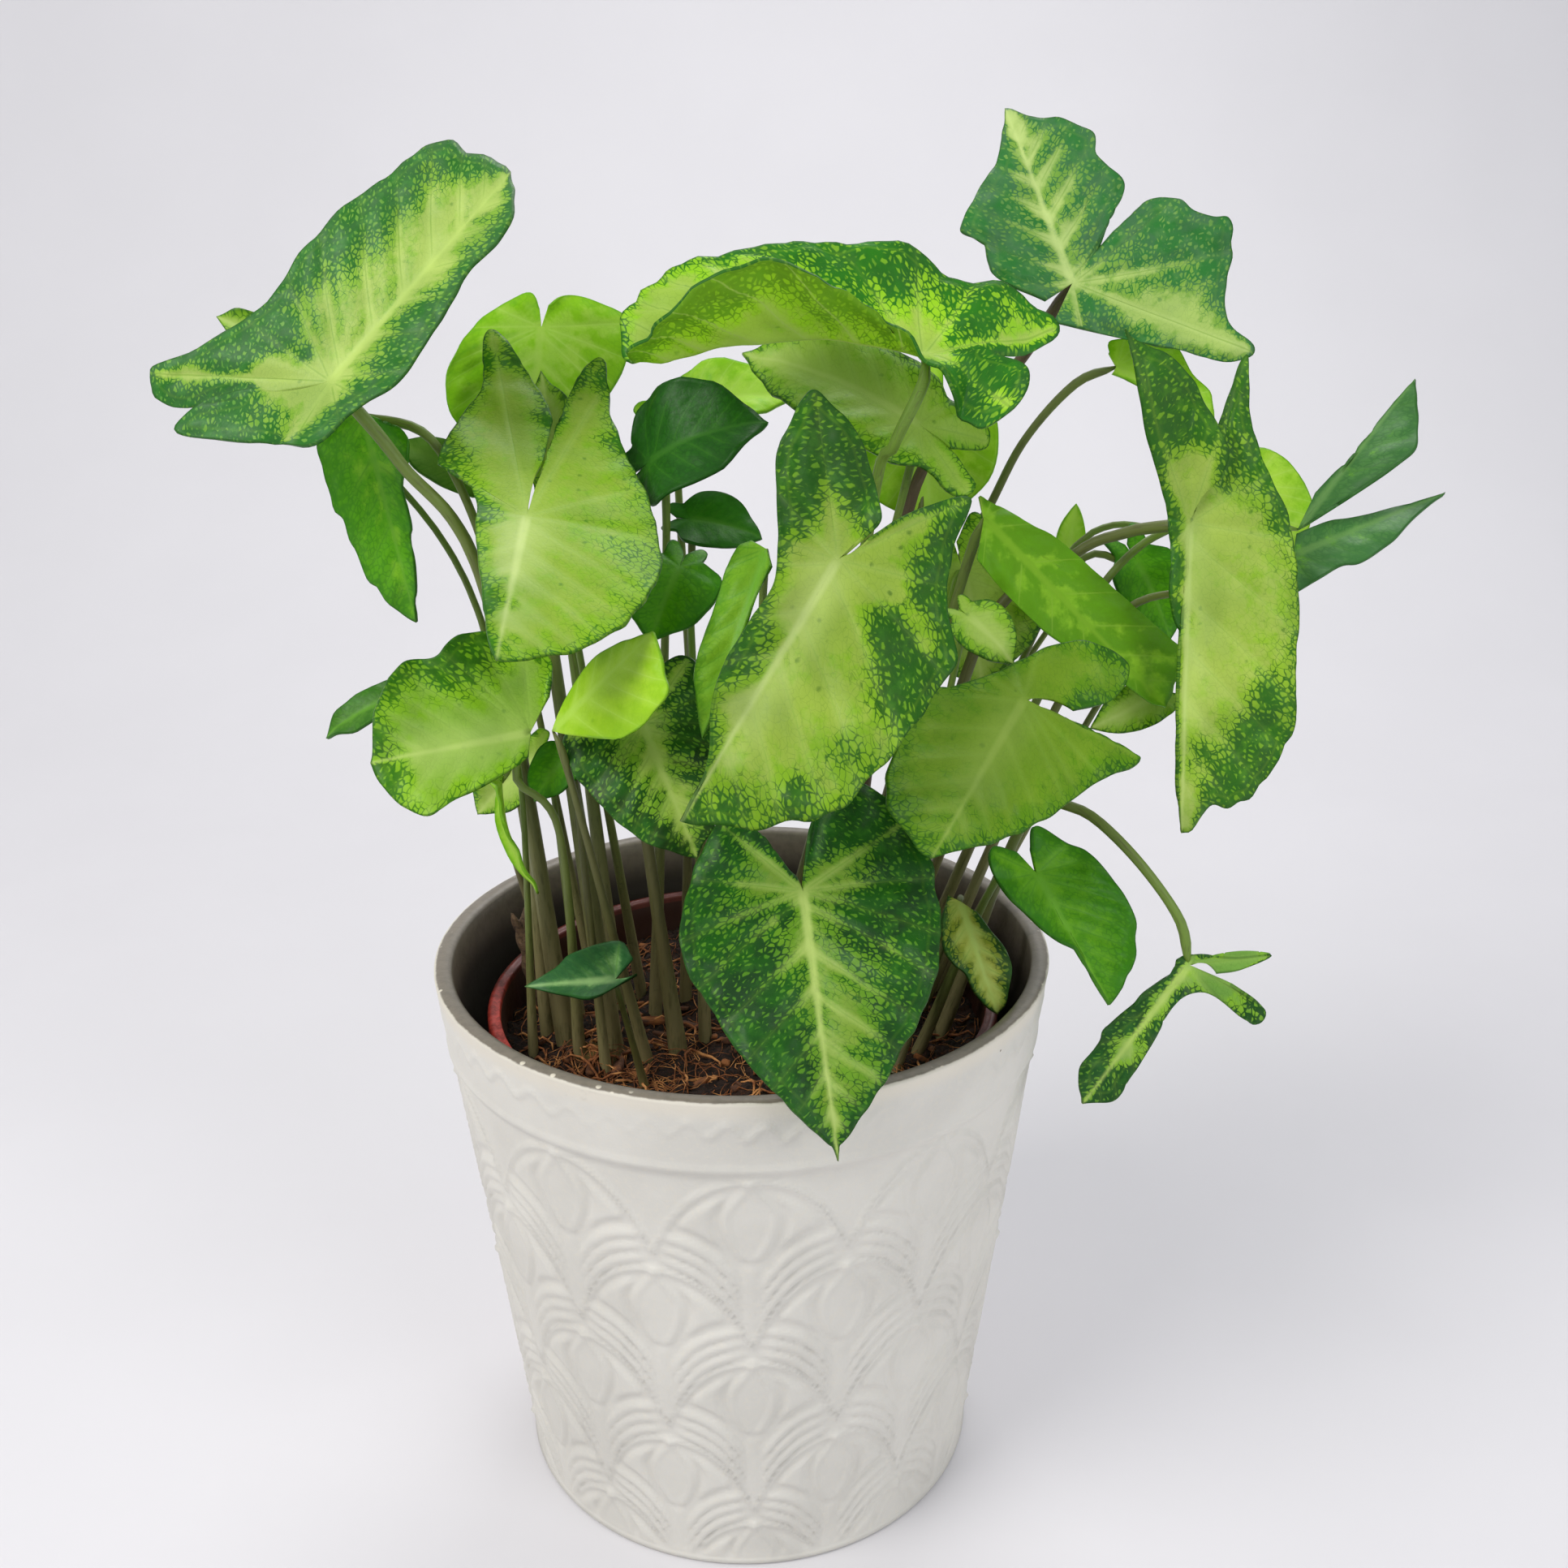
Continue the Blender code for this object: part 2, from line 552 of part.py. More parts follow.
def make_cachepot():
    band_low = POT_HEIGHT - POT_BAND
    at_band = radius_at(band_low, POT_FOOT_RADIUS, POT_RIM_RADIUS, POT_HEIGHT)
    inside_rim = POT_RIM_RADIUS - POT_WALL
    inside_floor = POT_FOOT_RADIUS - POT_WALL + POT_FOOT_ROUND
    below, above = POT_BAND_EDGE
    inwards, down = POT_LIP_ROUND
    profile = [
        (0, 0),
        (POT_FOOT_RADIUS - POT_FOOT_ROUND, 0),
        (POT_FOOT_RADIUS, POT_FOOT_ROUND),
        (at_band - POT_BAND_STEP, band_low + below),
        (at_band, band_low + above),
        (POT_RIM_RADIUS, POT_HEIGHT - down),
        (POT_RIM_RADIUS - inwards, POT_HEIGHT),
        (inside_rim + inwards, POT_HEIGHT),
        (inside_rim, POT_HEIGHT - down),
        (inside_floor, POT_FLOOR + POT_INSIDE_ROUND),
        (inside_floor - POT_INSIDE_ROUND, POT_FLOOR),
        (0, POT_FLOOR),
    ]
    return lathe("cachepot", profile, POT_SIDES, material("ceramic", (0.72, 0.69, 0.64), 0.7))


def grow_inside(height):
    bottom = POT_FLOOR + GAP
    share = (height - bottom) / (GROW_TOP - bottom)
    return GROW_FOOT_RADIUS - GROW_WALL + (GROW_RIM_RADIUS - GROW_FOOT_RADIUS) * share


def make_grow_pot():
    bottom = POT_FLOOR + GAP
    lip_low = GROW_TOP - GROW_LIP_DEPTH
    floor = bottom + GROW_FLOOR
    profile = [
        (0, bottom),
        (GROW_FOOT_RADIUS, bottom),
        (grow_inside(lip_low) + GROW_WALL, lip_low),
        (GROW_RIM_RADIUS + GROW_LIP, lip_low + GROW_LIP_ROUND),
        (GROW_RIM_RADIUS + GROW_LIP, GROW_TOP - GROW_LIP_ROUND),
        (GROW_RIM_RADIUS + GROW_LIP - GROW_LIP_ROUND, GROW_TOP),
        (GROW_RIM_RADIUS - GROW_WALL, GROW_TOP),
        (grow_inside(floor), floor),
        (0, floor),
    ]
    finish = material("terracotta_plastic", (0.42, 0.13, 0.06), 0.5)
    return lathe("grow_pot", profile, GROW_SIDES, finish)


def soil_height(x, y):
    """The potting mix's uneven top, with ripples of 30 mm and about 12 mm."""
    broad = sin(0.21 * x + 1.3) * cos(0.17 * y)
    fine = 0.5 * sin(0.43 * y + 0.29 * x)
    return SOIL_TOP + SOIL_RIPPLE * (broad + fine)


def soil_chips():
    """Short chips of coir that lie about on the mix, half sunk into it."""
    chips = []
    length, width, height = CHIP
    for i in range(CHIP_COUNT):
        turn = 2.4 * i
        reach = CHIP_NEAREST + CHIP_SPREAD * ((i * 0.618) % 1.0)
        x = reach * cos(turn)
        y = reach * sin(turn)
        lean = CHIP_LEAN * sin(3.1 * i)
        points = []
        for a in (-0.5, 0.5):
            for b in (-0.5, 0.5):
                for c in (-0.5, 0.5):
                    along = a * length
                    over = b * width
                    up = c * height + along * lean
                    points.append((
                        x + along * cos(1.7 * i) - over * sin(1.7 * i),
                        y + along * sin(1.7 * i) + over * cos(1.7 * i),
                        soil_height(x, y) - CHIP_SUNK + up,
                    ))
        faces = [(0, 1, 3, 2), (4, 6, 7, 5), (0, 4, 5, 1), (2, 3, 7, 6), (0, 2, 6, 4), (1, 5, 7, 3)]
        chips.append(object_from(f"chip_{i}", points, faces))
        face_outwards(chips[-1])
    return chips


def soil_lump():
    shape = bmesh.new()
    bmesh.ops.create_icosphere(shape, subdivisions=2, radius=1.0)
    mesh = bpy.data.meshes.new("lump")
    for vert in shape.verts:
        for axis in range(3):
            vert.co[axis] = (vert.co[axis] * LUMP_SIZE[axis] + LUMP_CENTRE[axis]) * MM
    shape.to_mesh(mesh)
    shape.free()
    made = bpy.data.objects.new("lump", mesh)
    bpy.context.scene.collection.objects.link(made)
    return made


def make_soil(routes):
    """The potting mix, with a plain hole for each stem."""
    floor = POT_FLOOR + GAP + GROW_FLOOR + GAP
    top_radius = grow_inside(SOIL_TOP) - GAP
    low_radius = grow_inside(floor) - GAP
    points = [(0, 0, floor), (0, 0, soil_height(0, 0))]
    faces = []
    rings = [(low_radius, None)]
    for ring in range(SOIL_RINGS, 0, -1):
        rings.append((top_radius * ring / SOIL_RINGS, ring))
    for radius, ring in rings:
        for i in range(SOIL_SIDES):
            turn = 2 * pi * i / SOIL_SIDES
            x = radius * cos(turn)
            y = radius * sin(turn)
            height = floor if ring is None else soil_height(x, y)
            if ring == SOIL_RINGS:
                height = SOIL_TOP
            points.append((x, y, height))
    for i in range(SOIL_SIDES):
        after = (i + 1) % SOIL_SIDES
        faces.append((0, 2 + after, 2 + i))
        for ring in range(len(rings) - 1):
            low = 2 + ring * SOIL_SIDES
            high = low + SOIL_SIDES
            faces.append((low + i, low + after, high + after))
            faces.append((low + i, high + after, high + i))
        high = 2 + (len(rings) - 1) * SOIL_SIDES
        faces.append((1, high + i, high + after))
    soil = object_from("soil", points, faces, material("potting_mix", (0.09, 0.05, 0.03), 0.95))
    face_outwards(soil)
    boolean(soil, [*soil_chips(), soil_lump()], "UNION")
    boolean(soil, [stem_hole(f"hole_{i}", *route) for i, route in enumerate(routes)], "DIFFERENCE")
    return soil


def stem_hole(name, points_mm, foot_radius):
    """A cylinder about a stem's straight foot, wider than it by the clearance."""
    start = np.array(points_mm[0], float)
    along = np.array(points_mm[1], float) - start
    along /= np.linalg.norm(along)
    side = np.cross(along, (1.0, 0.0, 0.0))
    side /= np.linalg.norm(side)
    other = np.cross(along, side)
    radius = (foot_radius + HOLE_CLEARANCE) / cos(pi / HOLE_SIDES)
    ends = (start - along * GAP, start + along * (HOLE_DEPTH + STEM_FOOT_DEPTH))
    points = []
    for end in ends:
        for i in range(HOLE_SIDES):
            turn = 2 * pi * i / HOLE_SIDES
            points.append(end + radius * (cos(turn) * side + sin(turn) * other))
    faces = [tuple(range(HOLE_SIDES)), tuple(range(2 * HOLE_SIDES - 1, HOLE_SIDES - 1, -1))]
    for i in range(HOLE_SIDES):
        after = (i + 1) % HOLE_SIDES
        faces.append((i, i + HOLE_SIDES, after + HOLE_SIDES, after))
    made = object_from(name, points, faces)
    face_outwards(made)
    return made


def catmull_rom(points, steps):
    """A smooth line through the points, with this many steps between each two."""
    points = np.asarray(points, float)
    if steps == 1:
        return points
    padded = np.vstack([2 * points[0] - points[1], points, 2 * points[-1] - points[-2]])
    line = []
    for i in range(1, len(padded) - 2):
        a, b, c, d = padded[i - 1 : i + 3]
        for t in np.arange(steps) / steps:
            square = (2 * a - 5 * b + 4 * c - d) * t**2
            cube = (3 * b - a - 3 * c + d) * t**3
            line.append((2 * b + (c - a) * t + square + cube) / 2)
    line.append(points[-1])
    return np.array(line)


def pair(value):
    return value if isinstance(value, tuple) else (value, value)


def arrowhead_side(width, lobe_length, lobe_angle, lobe_width, waist):
    """One side of a plain arrowhead blade, from its tip round to the sinus."""
    turn = radians(lobe_angle)
    down = np.array([sin(turn), cos(turn)])
    out = np.array([-down[1], down[0]])
    half = width / 2
    side = [(0.0, 1.0), (0.3 * half, 0.88), (0.78 * half, 0.65), (half, 0.3), (0.93 * half, 0.05)]
    side.append((waist * sin(radians(WAIST_ANGLE)), waist * cos(radians(WAIST_ANGLE))))
    for along, across in ((0.6, 1.0), (0.95, 0.45), (0.95, -0.4), (0.42, -0.85)):
        x, y = down * along * lobe_length + out * across * lobe_width
        side.append((max(x, 0.012), y))
    return side


def margin(leaf, side):
    """One side's margin as shares of the blade's length."""
    name = ("minus_side", "plus_side")[side]
    if name not in leaf:
        keys = ("width", "lobe_length", "lobe_angle", "lobe_width", "waist")
        return arrowhead_side(*(pair(leaf[key])[side] for key in keys))
    length = leaf["length"] or np.linalg.norm(np.subtract(leaf["tip"], leaf["seat"]))
    return np.vstack([(0, length), leaf[name]]) / length


def blade_fan(leaf, steps, rows):
    """The flat blade as rays from the seat: radius, angle, share of the way out, and triangles."""
    sides = []
    for side in (0, 1):
        line = catmull_rom(margin(leaf, side), steps)
        angle = np.unwrap(np.arctan2(line[:, 0], line[:, 1]))
        climb = np.arange(len(angle)) * ANGLE_STEP / steps
        sides.append((np.hypot(*line.T), np.maximum.accumulate(angle - climb) + climb))
    reach = np.r_[sides[0][0][::-1], sides[1][0][1:]]
    angle = np.r_[-sides[0][1][::-1], sides[1][1][1:]]
    high = radians(leaf["sinus"]) - SINUS_GAP / 2
    low = high - 2 * pi + SINUS_GAP
    past = np.maximum(angle - high, 0) - np.maximum(low - angle, 0)
    radius, turn, share = [0.0], [0.0], [0.0]
    for out in np.linspace(0, 1, rows + 1)[1:] ** 0.8:
        radius.extend(reach * out)
        turn.extend(angle - past * (1 - out**1.5))
        share.extend([out] * len(reach))
    count = len(reach)
    faces = [(0, i + 2, i + 1) for i in range(count - 1)]
    for row in range(rows - 1):
        inner = 1 + row * count
        outer = inner + count
        for i in range(count - 1):
            faces.append((inner + i, inner + i + 1, outer + i + 1))
            faces.append((inner + i, outer + i + 1, outer + i))
    return np.array(radius), np.array(turn), np.array(share), faces


def bent_blade(leaf, radius, turn, share):
    """The fan folded along its midrib, with its arch, its lobes' lift and its waved margin."""
    across = radius * np.sin(turn)
    along = radius * np.cos(turn)
    plus = turn > 0

    def by_side(value):
        low, high = pair(value)
        return np.where(plus, high, low)

    fold = by_side(leaf["fold"])
    lobe_fold = fold if leaf["lobe_fold"] is None else by_side(leaf["lobe_fold"])
    fold = np.radians(lobe_fold + (fold - lobe_fold) * np.clip((along + 0.15) / 0.3, 0, 1))
    angle = np.abs(np.degrees(turn))
    height = (np.sqrt(across**2 + FOLD_EASE**2) - FOLD_EASE) * np.sin(fold)
    height = height + by_side(leaf["cup"]) * across**2
    height = height + by_side(leaf["lift"]) * radius * np.clip((angle - 90) / 60, 0, 1)
    height = height + leaf["wave"] * share**2 * np.sin(leaf["ripples"] * turn + leaf["phase"])
    turned = turn + radians(leaf["turn"]) * np.clip((angle - 40) / 130, 0, 1)
    across = radius * np.sin(turned)
    along = radius * np.cos(turned)
    if "minus_side" in leaf and not leaf["folded"]:
        ahead = np.clip(along, 0, 1)
        height = height + leaf["arch"] * 4 * ahead * (1 - ahead) - leaf["droop"] * np.minimum(along, 0) ** 2
        return np.stack([across, along, height], -1)
    bend = radians(leaf["bend"])
    rate = np.where(along > 0, bend, radians(leaf["tail"]))
    turned = rate * along
    forward = np.sin(turned) / rate + height * np.sin(turned)
    up = (np.cos(turned) - 1) / rate + height * np.cos(turned)
    end = np.array([sin(bend), cos(bend) - 1]) / bend
    chord = np.hypot(*end)
    level, drop = end / chord
    return np.stack([
        across * np.cos(fold),
        forward * level + up * drop,
        up * level - forward * drop,
    ], -1) / chord


def blade(leaf, steps=1, rows=None):
    """The blade's sheet in mm, with its triangles."""
    radius, turn, share, faces = blade_fan(leaf, steps, rows or leaf["rows"])
    shape = bent_blade(leaf, radius, turn, share)
    seat = np.array(leaf["seat"], float)
    along = np.array(leaf["tip"], float) - seat
    length = np.linalg.norm(along)
    along /= length
    face = np.array(leaf["face"], float)
    face -= along * (face @ along)
    face /= np.linalg.norm(face)
    across = np.cross(along, face)
    if "minus_side" in leaf and not leaf["folded"]:
        face = np.array(EYE) - seat
        face /= np.linalg.norm(face)
    return seat + shape * length @ np.stack([across, along, face]), faces


def stem_route(leaf):
    """The stem's points in mm from its foot in the soil to just past the seat. The foot is straight."""
    ground = np.array([*leaf["foot"], SOIL_TOP], float)
    seat = np.array(leaf["seat"], float)
    bends = [np.array(p, float) for p in leaf["stem"]]
    first = bends[0] if bends else seat
    rise = (first - ground) / np.linalg.norm(first - ground)
    start = ground - rise * STEM_FOOT_DEPTH
    leave = ground + rise * STEM_FOOT_RISE
    curve = catmull_rom([start, leave, *bends, seat], 8)[8:]
    run = np.r_[0, np.cumsum(np.linalg.norm(np.diff(curve, axis=0), axis=1))]
    pieces = max(2, round(run[-1] / STEM_STEP))
    even = np.linspace(0, run[-1], pieces + 1)
    route = np.stack([np.interp(even, run, curve[:, i]) for i in range(3)], -1)
    end = route[-1] + (route[-1] - route[-2]) / np.linalg.norm(route[-1] - route[-2]) * STEM_SINK
    return np.vstack([start, route[:-1], end])


def tube(name, points_mm, foot_radius, end_radius):
    """A round stem that tapers along its route, as a closed mesh."""
    curve = bpy.data.curves.new(name, "CURVE")
    curve.dimensions = "3D"
    curve.bevel_depth = 1.0
    curve.bevel_resolution = 1
    curve.use_fill_caps = True
    spline = curve.splines.new("POLY")
    spline.points.add(len(points_mm) - 1)
    for i, point in enumerate(points_mm):
        spline.points[i].co = (*(point * MM), 1.0)
        spline.points[i].radius = (foot_radius + (end_radius - foot_radius) * i / (len(points_mm) - 1)) * MM
    route = bpy.data.objects.new(name + "_route", curve)
    bpy.context.scene.collection.objects.link(route)
    graph = bpy.context.evaluated_depsgraph_get()
    mesh = bpy.data.meshes.new_from_object(route.evaluated_get(graph))
    bpy.data.objects.remove(route)
    bpy.data.curves.remove(curve)
    shape = bmesh.new()
    shape.from_mesh(mesh)
    bmesh.ops.remove_doubles(shape, verts=shape.verts, dist=1e-6)
    bmesh.ops.triangulate(shape, faces=shape.faces)
    bmesh.ops.recalc_face_normals(shape, faces=shape.faces)
    shape.to_mesh(mesh)
    shape.free()
    mesh.materials.clear()
    made = bpy.data.objects.new(name, mesh)
    bpy.context.scene.collection.objects.link(made)
    return made


def make_leaf(name, entry):
    """A blade and its stem as one piece."""
    leaf = {**LEAF, **entry}
    points, faces = blade(leaf)
    finish = material("leaf_" + leaf["tone"], COLOURS[leaf["tone"]], 0.45)
    made = object_from("leaf_" + name, points, faces, finish)
    solidify = made.modifiers.new("Solidify", "SOLIDIFY")
    solidify.thickness = BLADE_THICKNESS * MM
    solidify.offset = 0.0
    apply_modifiers(made)
    face_outwards(made)
    route = stem_route(leaf)
    stem = tube("stem_" + name, route, leaf["foot_radius"], leaf["seat_radius"])
    # EXACT empties the blades that lie close to themselves at the sinus.
    boolean(made, [stem], "UNION", "MANIFOLD")
    for polygon in made.data.polygons:
        polygon.use_smooth = True
    return route, leaf["foot_radius"]


def make_stub():
    points = [np.array(p, float) for p in STUB_POINTS]
    stub = tube("dried_stub", points, STUB_RADIUS, STUB_RADIUS)
    stub.data.materials.append(material("dry_stem", (0.3, 0.22, 0.12), 0.9))
    return points, STUB_RADIUS


for old in list(bpy.data.objects):
    bpy.data.objects.remove(old)

make_cachepot()
make_grow_pot()
feet = [make_leaf(name, entry) for name, entry in LEAVES.items()]
feet.append(make_stub())
make_soil(feet)
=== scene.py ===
from math import cos, pi, radians, sin

import bmesh
import bpy
import numpy as np
from mathutils import Matrix, Vector, noise


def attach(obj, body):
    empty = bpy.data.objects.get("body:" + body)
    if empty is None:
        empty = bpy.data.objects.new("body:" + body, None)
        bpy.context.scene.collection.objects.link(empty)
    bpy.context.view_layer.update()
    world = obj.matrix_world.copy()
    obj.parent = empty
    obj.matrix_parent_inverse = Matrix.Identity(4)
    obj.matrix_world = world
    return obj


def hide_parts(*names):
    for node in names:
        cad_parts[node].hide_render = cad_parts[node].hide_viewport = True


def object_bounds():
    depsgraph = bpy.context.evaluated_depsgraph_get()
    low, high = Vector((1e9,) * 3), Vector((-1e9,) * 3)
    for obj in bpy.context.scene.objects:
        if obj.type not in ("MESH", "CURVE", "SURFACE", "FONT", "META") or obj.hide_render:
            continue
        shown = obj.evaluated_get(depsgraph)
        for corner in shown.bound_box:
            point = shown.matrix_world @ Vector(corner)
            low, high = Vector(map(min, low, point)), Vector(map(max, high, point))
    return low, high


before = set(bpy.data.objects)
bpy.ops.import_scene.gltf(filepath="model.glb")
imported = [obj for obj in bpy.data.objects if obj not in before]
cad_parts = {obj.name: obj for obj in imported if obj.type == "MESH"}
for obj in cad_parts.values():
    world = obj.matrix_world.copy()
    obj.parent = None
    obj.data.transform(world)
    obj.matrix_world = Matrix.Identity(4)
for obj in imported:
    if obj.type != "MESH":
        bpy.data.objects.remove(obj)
cadBox = [list(corner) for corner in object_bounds()]
mm = 0.001
print("frame loaded,", len(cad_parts), "nodes")


# Finishes. A field is a value that changes over the surface, and sums with fields become nodes.
def shade(red, green, blue):  # screen colour, 0 to 255, as the linear colour that Blender takes
    parts = [part / 255 for part in (red, green, blue)]
    return (*[p / 12.92 if p < 0.04 else ((p + 0.055) / 1.055) ** 2.4 for p in parts], 1.0)


def startFinish(name):
    made = bpy.data.materials.new(name)
    made.use_nodes = True
    return made


def feed(socket, value):
    if isinstance(value, Field):
        value.tree.links.new(value.socket, socket)
    else:
        socket.default_value = value


def addNode(tree, kind, feeds, *outputs, **settings):
    made = tree.nodes.new("ShaderNode" + kind)
    for label, value in settings.items():
        setattr(made, label, value)
    for label, value in feeds:
        feed(made.inputs[label], value)
    fields = [Field(tree, made.outputs[label]) for label in outputs]
    return fields if len(fields) > 1 else fields[0]


class Field:
    def __init__(self, tree, socket):
        self.tree = tree
        self.socket = socket

    def math(self, operation, *others):
        return addNode(self.tree, "Math", enumerate((self, *others)), 0, operation=operation)

    def __add__(self, other):
        return self.math("ADD", other)

    def __sub__(self, other):
        return self.math("SUBTRACT", other)

    def __mul__(self, other):
        return self.math("MULTIPLY", other)

    def __truediv__(self, other):
        return self.math("DIVIDE", other)

    def __pow__(self, other):
        return self.math("POWER", other)

    def __abs__(self):
        return self.math("ABSOLUTE")


def ease(value, low, high, start=0.0, end=1.0):
    labels = ("Value", "From Min", "From Max", "To Min", "To Max")
    feeds = zip(labels, (value, low, high, start, end))
    return addNode(value.tree, "MapRange", feeds, 0, interpolation_type="SMOOTHSTEP")


def mix(share, first, second):  # each colour is a field, a screen colour or a ready linear one
    feeds = [(0, share), (6, first), (7, second)]
    tree = next(value.tree for socket, value in feeds if isinstance(value, Field))
    for i, (socket, value) in enumerate(feeds):
        if isinstance(value, tuple) and len(value) == 3:
            feeds[i] = (socket, shade(*value))
    return addNode(tree, "Mix", feeds, 2, data_type="RGBA")


def moved(where, scale, turn=(0, 0, 0)):
    feeds = {"Vector": where, "Rotation": turn, "Scale": scale}
    return addNode(where.tree, "Mapping", feeds.items(), 0)


def objectPlace(made):  # Object coordinates in millimetres
    place = addNode(made.node_tree, "TexCoord", (), "Object")
    return moved(place, scale=(1 / mm, 1 / mm, 1 / mm))


def attribute(made, name):
    return addNode(made.node_tree, "Attribute", (), "Vector", attribute_name=name)


def split(where):
    return addNode(where.tree, "SeparateXYZ", ((0, where),), 0, 1, 2)


def join(*parts):
    return addNode(parts[0].tree, "CombineXYZ", enumerate(parts), 0)


def cloud(where, scale, detail=2.0, rough=0.5):  # a noise as a value and as a colour
    feeds = {"Vector": where, "Scale": scale, "Detail": detail, "Roughness": rough}
    return addNode(where.tree, "TexNoise", feeds.items(), 0, 1)


def cells(where, scale, feature="DISTANCE_TO_EDGE"):  # distance and colour of each cell
    feeds = {"Vector": where, "Scale": scale}
    return addNode(where.tree, "TexVoronoi", feeds.items(), 0, 1, feature=feature)


def warped(where, scale, amount):  # the place, pushed about by a soft noise
    parts = (cloud(where, scale)[1], (amount,) * 3, where)
    return addNode(where.tree, "VectorMath", enumerate(parts), 0, operation="MULTIPLY_ADD")


def fromAxis(x, y):
    return (x * x + y * y) ** 0.5


def endFinish(made, base, rough, height=None, depth=0.0, strength=1.0, shine=0.5):
    # height makes a relief that is depth mm deep
    feeds = {"Base Color": base, "Roughness": rough, "Specular IOR Level": shine}
    if height:
        relief = {"Strength": strength, "Distance": depth * mm, "Height": height}
        feeds["Normal"] = addNode(height.tree, "Bump", relief.items(), 0)
    for label, value in feeds.items():
        feed(made.node_tree.nodes["Principled BSDF"].inputs[label], value)
    return made


# Shapes.
def finishPiece(name, shape, finishes, slotName, nodes=()):
    mesh = bpy.data.meshes.new(name)
    shape.to_mesh(mesh)
    shape.free()
    mesh.shade_smooth()
    made = bpy.data.objects.new(name, mesh)
    bpy.context.scene.collection.objects.link(made)
    for finish in finishes:
        mesh.materials.append(finish)
    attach(made, "root")
    if nodes:
        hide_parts(*nodes)


def gridPlaces(shape, columns, rows):
    # a new grid's vertices, with the column and row of each
    made = bmesh.ops.create_grid(shape, x_segments=columns, y_segments=rows, size=1.0)["verts"]
    across = [round((vert.co.x + 1) / 2 * columns) for vert in made]
    up = [round((vert.co.y + 1) / 2 * rows) for vert in made]
    return made, np.array(across), np.array(up)


def spinProfile(profile, steps):
    # turns (radius, height) points about the Z axis
    shape = bmesh.new()
    verts = [shape.verts.new((radius * mm, 0, height * mm)) for radius, height in profile]
    edges = [shape.edges.new(pair) for pair in zip(verts, verts[1:])]
    bmesh.ops.spin(
        shape, geom=verts + edges, cent=(0, 0, 0), axis=(0, 0, 1), angle=2 * pi,
        steps=steps, use_merge=True, use_duplicate=False,
    )
    bmesh.ops.remove_doubles(shape, verts=shape.verts, dist=1e-6)
    bmesh.ops.recalc_face_normals(shape, faces=shape.faces)
    return shape


def tubeOn(shape, route, radii, sides, layers=None, bend=0.0, tint=0.0):
    # a closed tube along a route in mm; the layers get (turn, length, 0) and (share, tint, 0)
    route = np.asarray(route, float)
    radii = np.asarray(radii, float)
    step = np.gradient(route, axis=0)
    step /= np.linalg.norm(step, axis=1)[:, None]
    side = np.cross(step[0], (0.3, 0.2, 1.0) if abs(step[0][2]) < 0.9 else (1.0, 0.0, 0.0))
    length = np.r_[0, np.cumsum(np.linalg.norm(np.diff(route, axis=0), axis=1))]
    last = len(route) - 1
    verts, column, row = gridPlaces(shape, sides, last + 2)
    sideways = []
    for i in range(last + 1):
        side = side - step[i] * (side @ step[i])
        side /= np.linalg.norm(side)
        sideways.append((side, np.cross(step[i], side)))
    for vert, col, ring in zip(verts, column, row):
        at = min(max(ring - 1, 0), last)
        turn = 2 * pi * col / sides
        radius = 0.0 if ring in (0, last + 2) else radii[at] * (1 + bend * cos(2 * turn))
        one, other = sideways[at]
        spot = route[at] + radius * (cos(turn) * one + sin(turn) * other)
        vert.co = Vector(spot * mm)
        if layers:
            vert[layers[0]] = Vector((radius * turn, length[at], 0.0))
            vert[layers[1]] = Vector((length[at] / length[-1], tint, 0.0))
    bmesh.ops.remove_doubles(shape, verts=verts, dist=1e-6)


def smoothLine(points, steps):
    # Catmull-Rom through the points
    points = np.asarray(points, float)
    padded = np.vstack([2 * points[0] - points[1], points, 2 * points[-1] - points[-2]])
    line = []
    for i in range(1, len(padded) - 2):
        a, b, c, d = padded[i - 1:i + 3]
        for share in np.arange(steps) / steps:
            square = (2 * a - 5 * b + 4 * c - d) * share**2
            cube = (3 * b - a - 3 * c + d) * share**3
            line.append((2 * b + (c - a) * share + square + cube) / 2)
    line.append(points[-1])
    return np.array(line)


def evenLine(line, gap):
    run = np.r_[0, np.cumsum(np.linalg.norm(np.diff(line, axis=0), axis=1))]
    even = np.linspace(0, run[-1], max(3, round(run[-1] / gap)) + 1)
    return np.stack([np.interp(even, run, line[:, i]) for i in range(line.shape[1])], -1)


def smooth(value, low, high):
    share = np.clip((value - low) / (high - low), 0, 1)
    return share * share * (3 - 2 * share)


# Cachepot: cream matte ceramic, grey-brown glaze inside and on the rim, half-drop palmettes.
cachepot = {
    "height": 130, "rimRadius": 70, "footRadius": 55, "wall": 4.6, "floor": 6, "lip": 1.3,
    "innerLow": 9, "innerHigh": 126,
    "band": 17.7, "bandStep": 0.9, "turns": 520, "rows": 165,
    "motifs": 10, "rowRise": 24.4, "lowestRow": 2.9, "relief": 0.95, "sunk": 0.6, "turn": 0.5,
    "archTop": 0.9, "budWidth": 0.24, "budLine": 0.085, "fronds": 3, "stalk": 0.45,
    "scallops": 52, "scallopDrop": 5.6, "scallopRise": 3.2,
    "cream": (219, 216, 208), "creamDark": (210, 207, 199), "creamWarm": (227, 218, 200),
    "glaze": (130, 121, 108), "glazeDark": (88, 82, 74), "glazePaintedShade": (54, 50, 45),
    "chip": (120, 106, 88),
}


def flare(pot):  # how much wider the rim is than the foot
    return pot["rimRadius"] - pot["footRadius"]


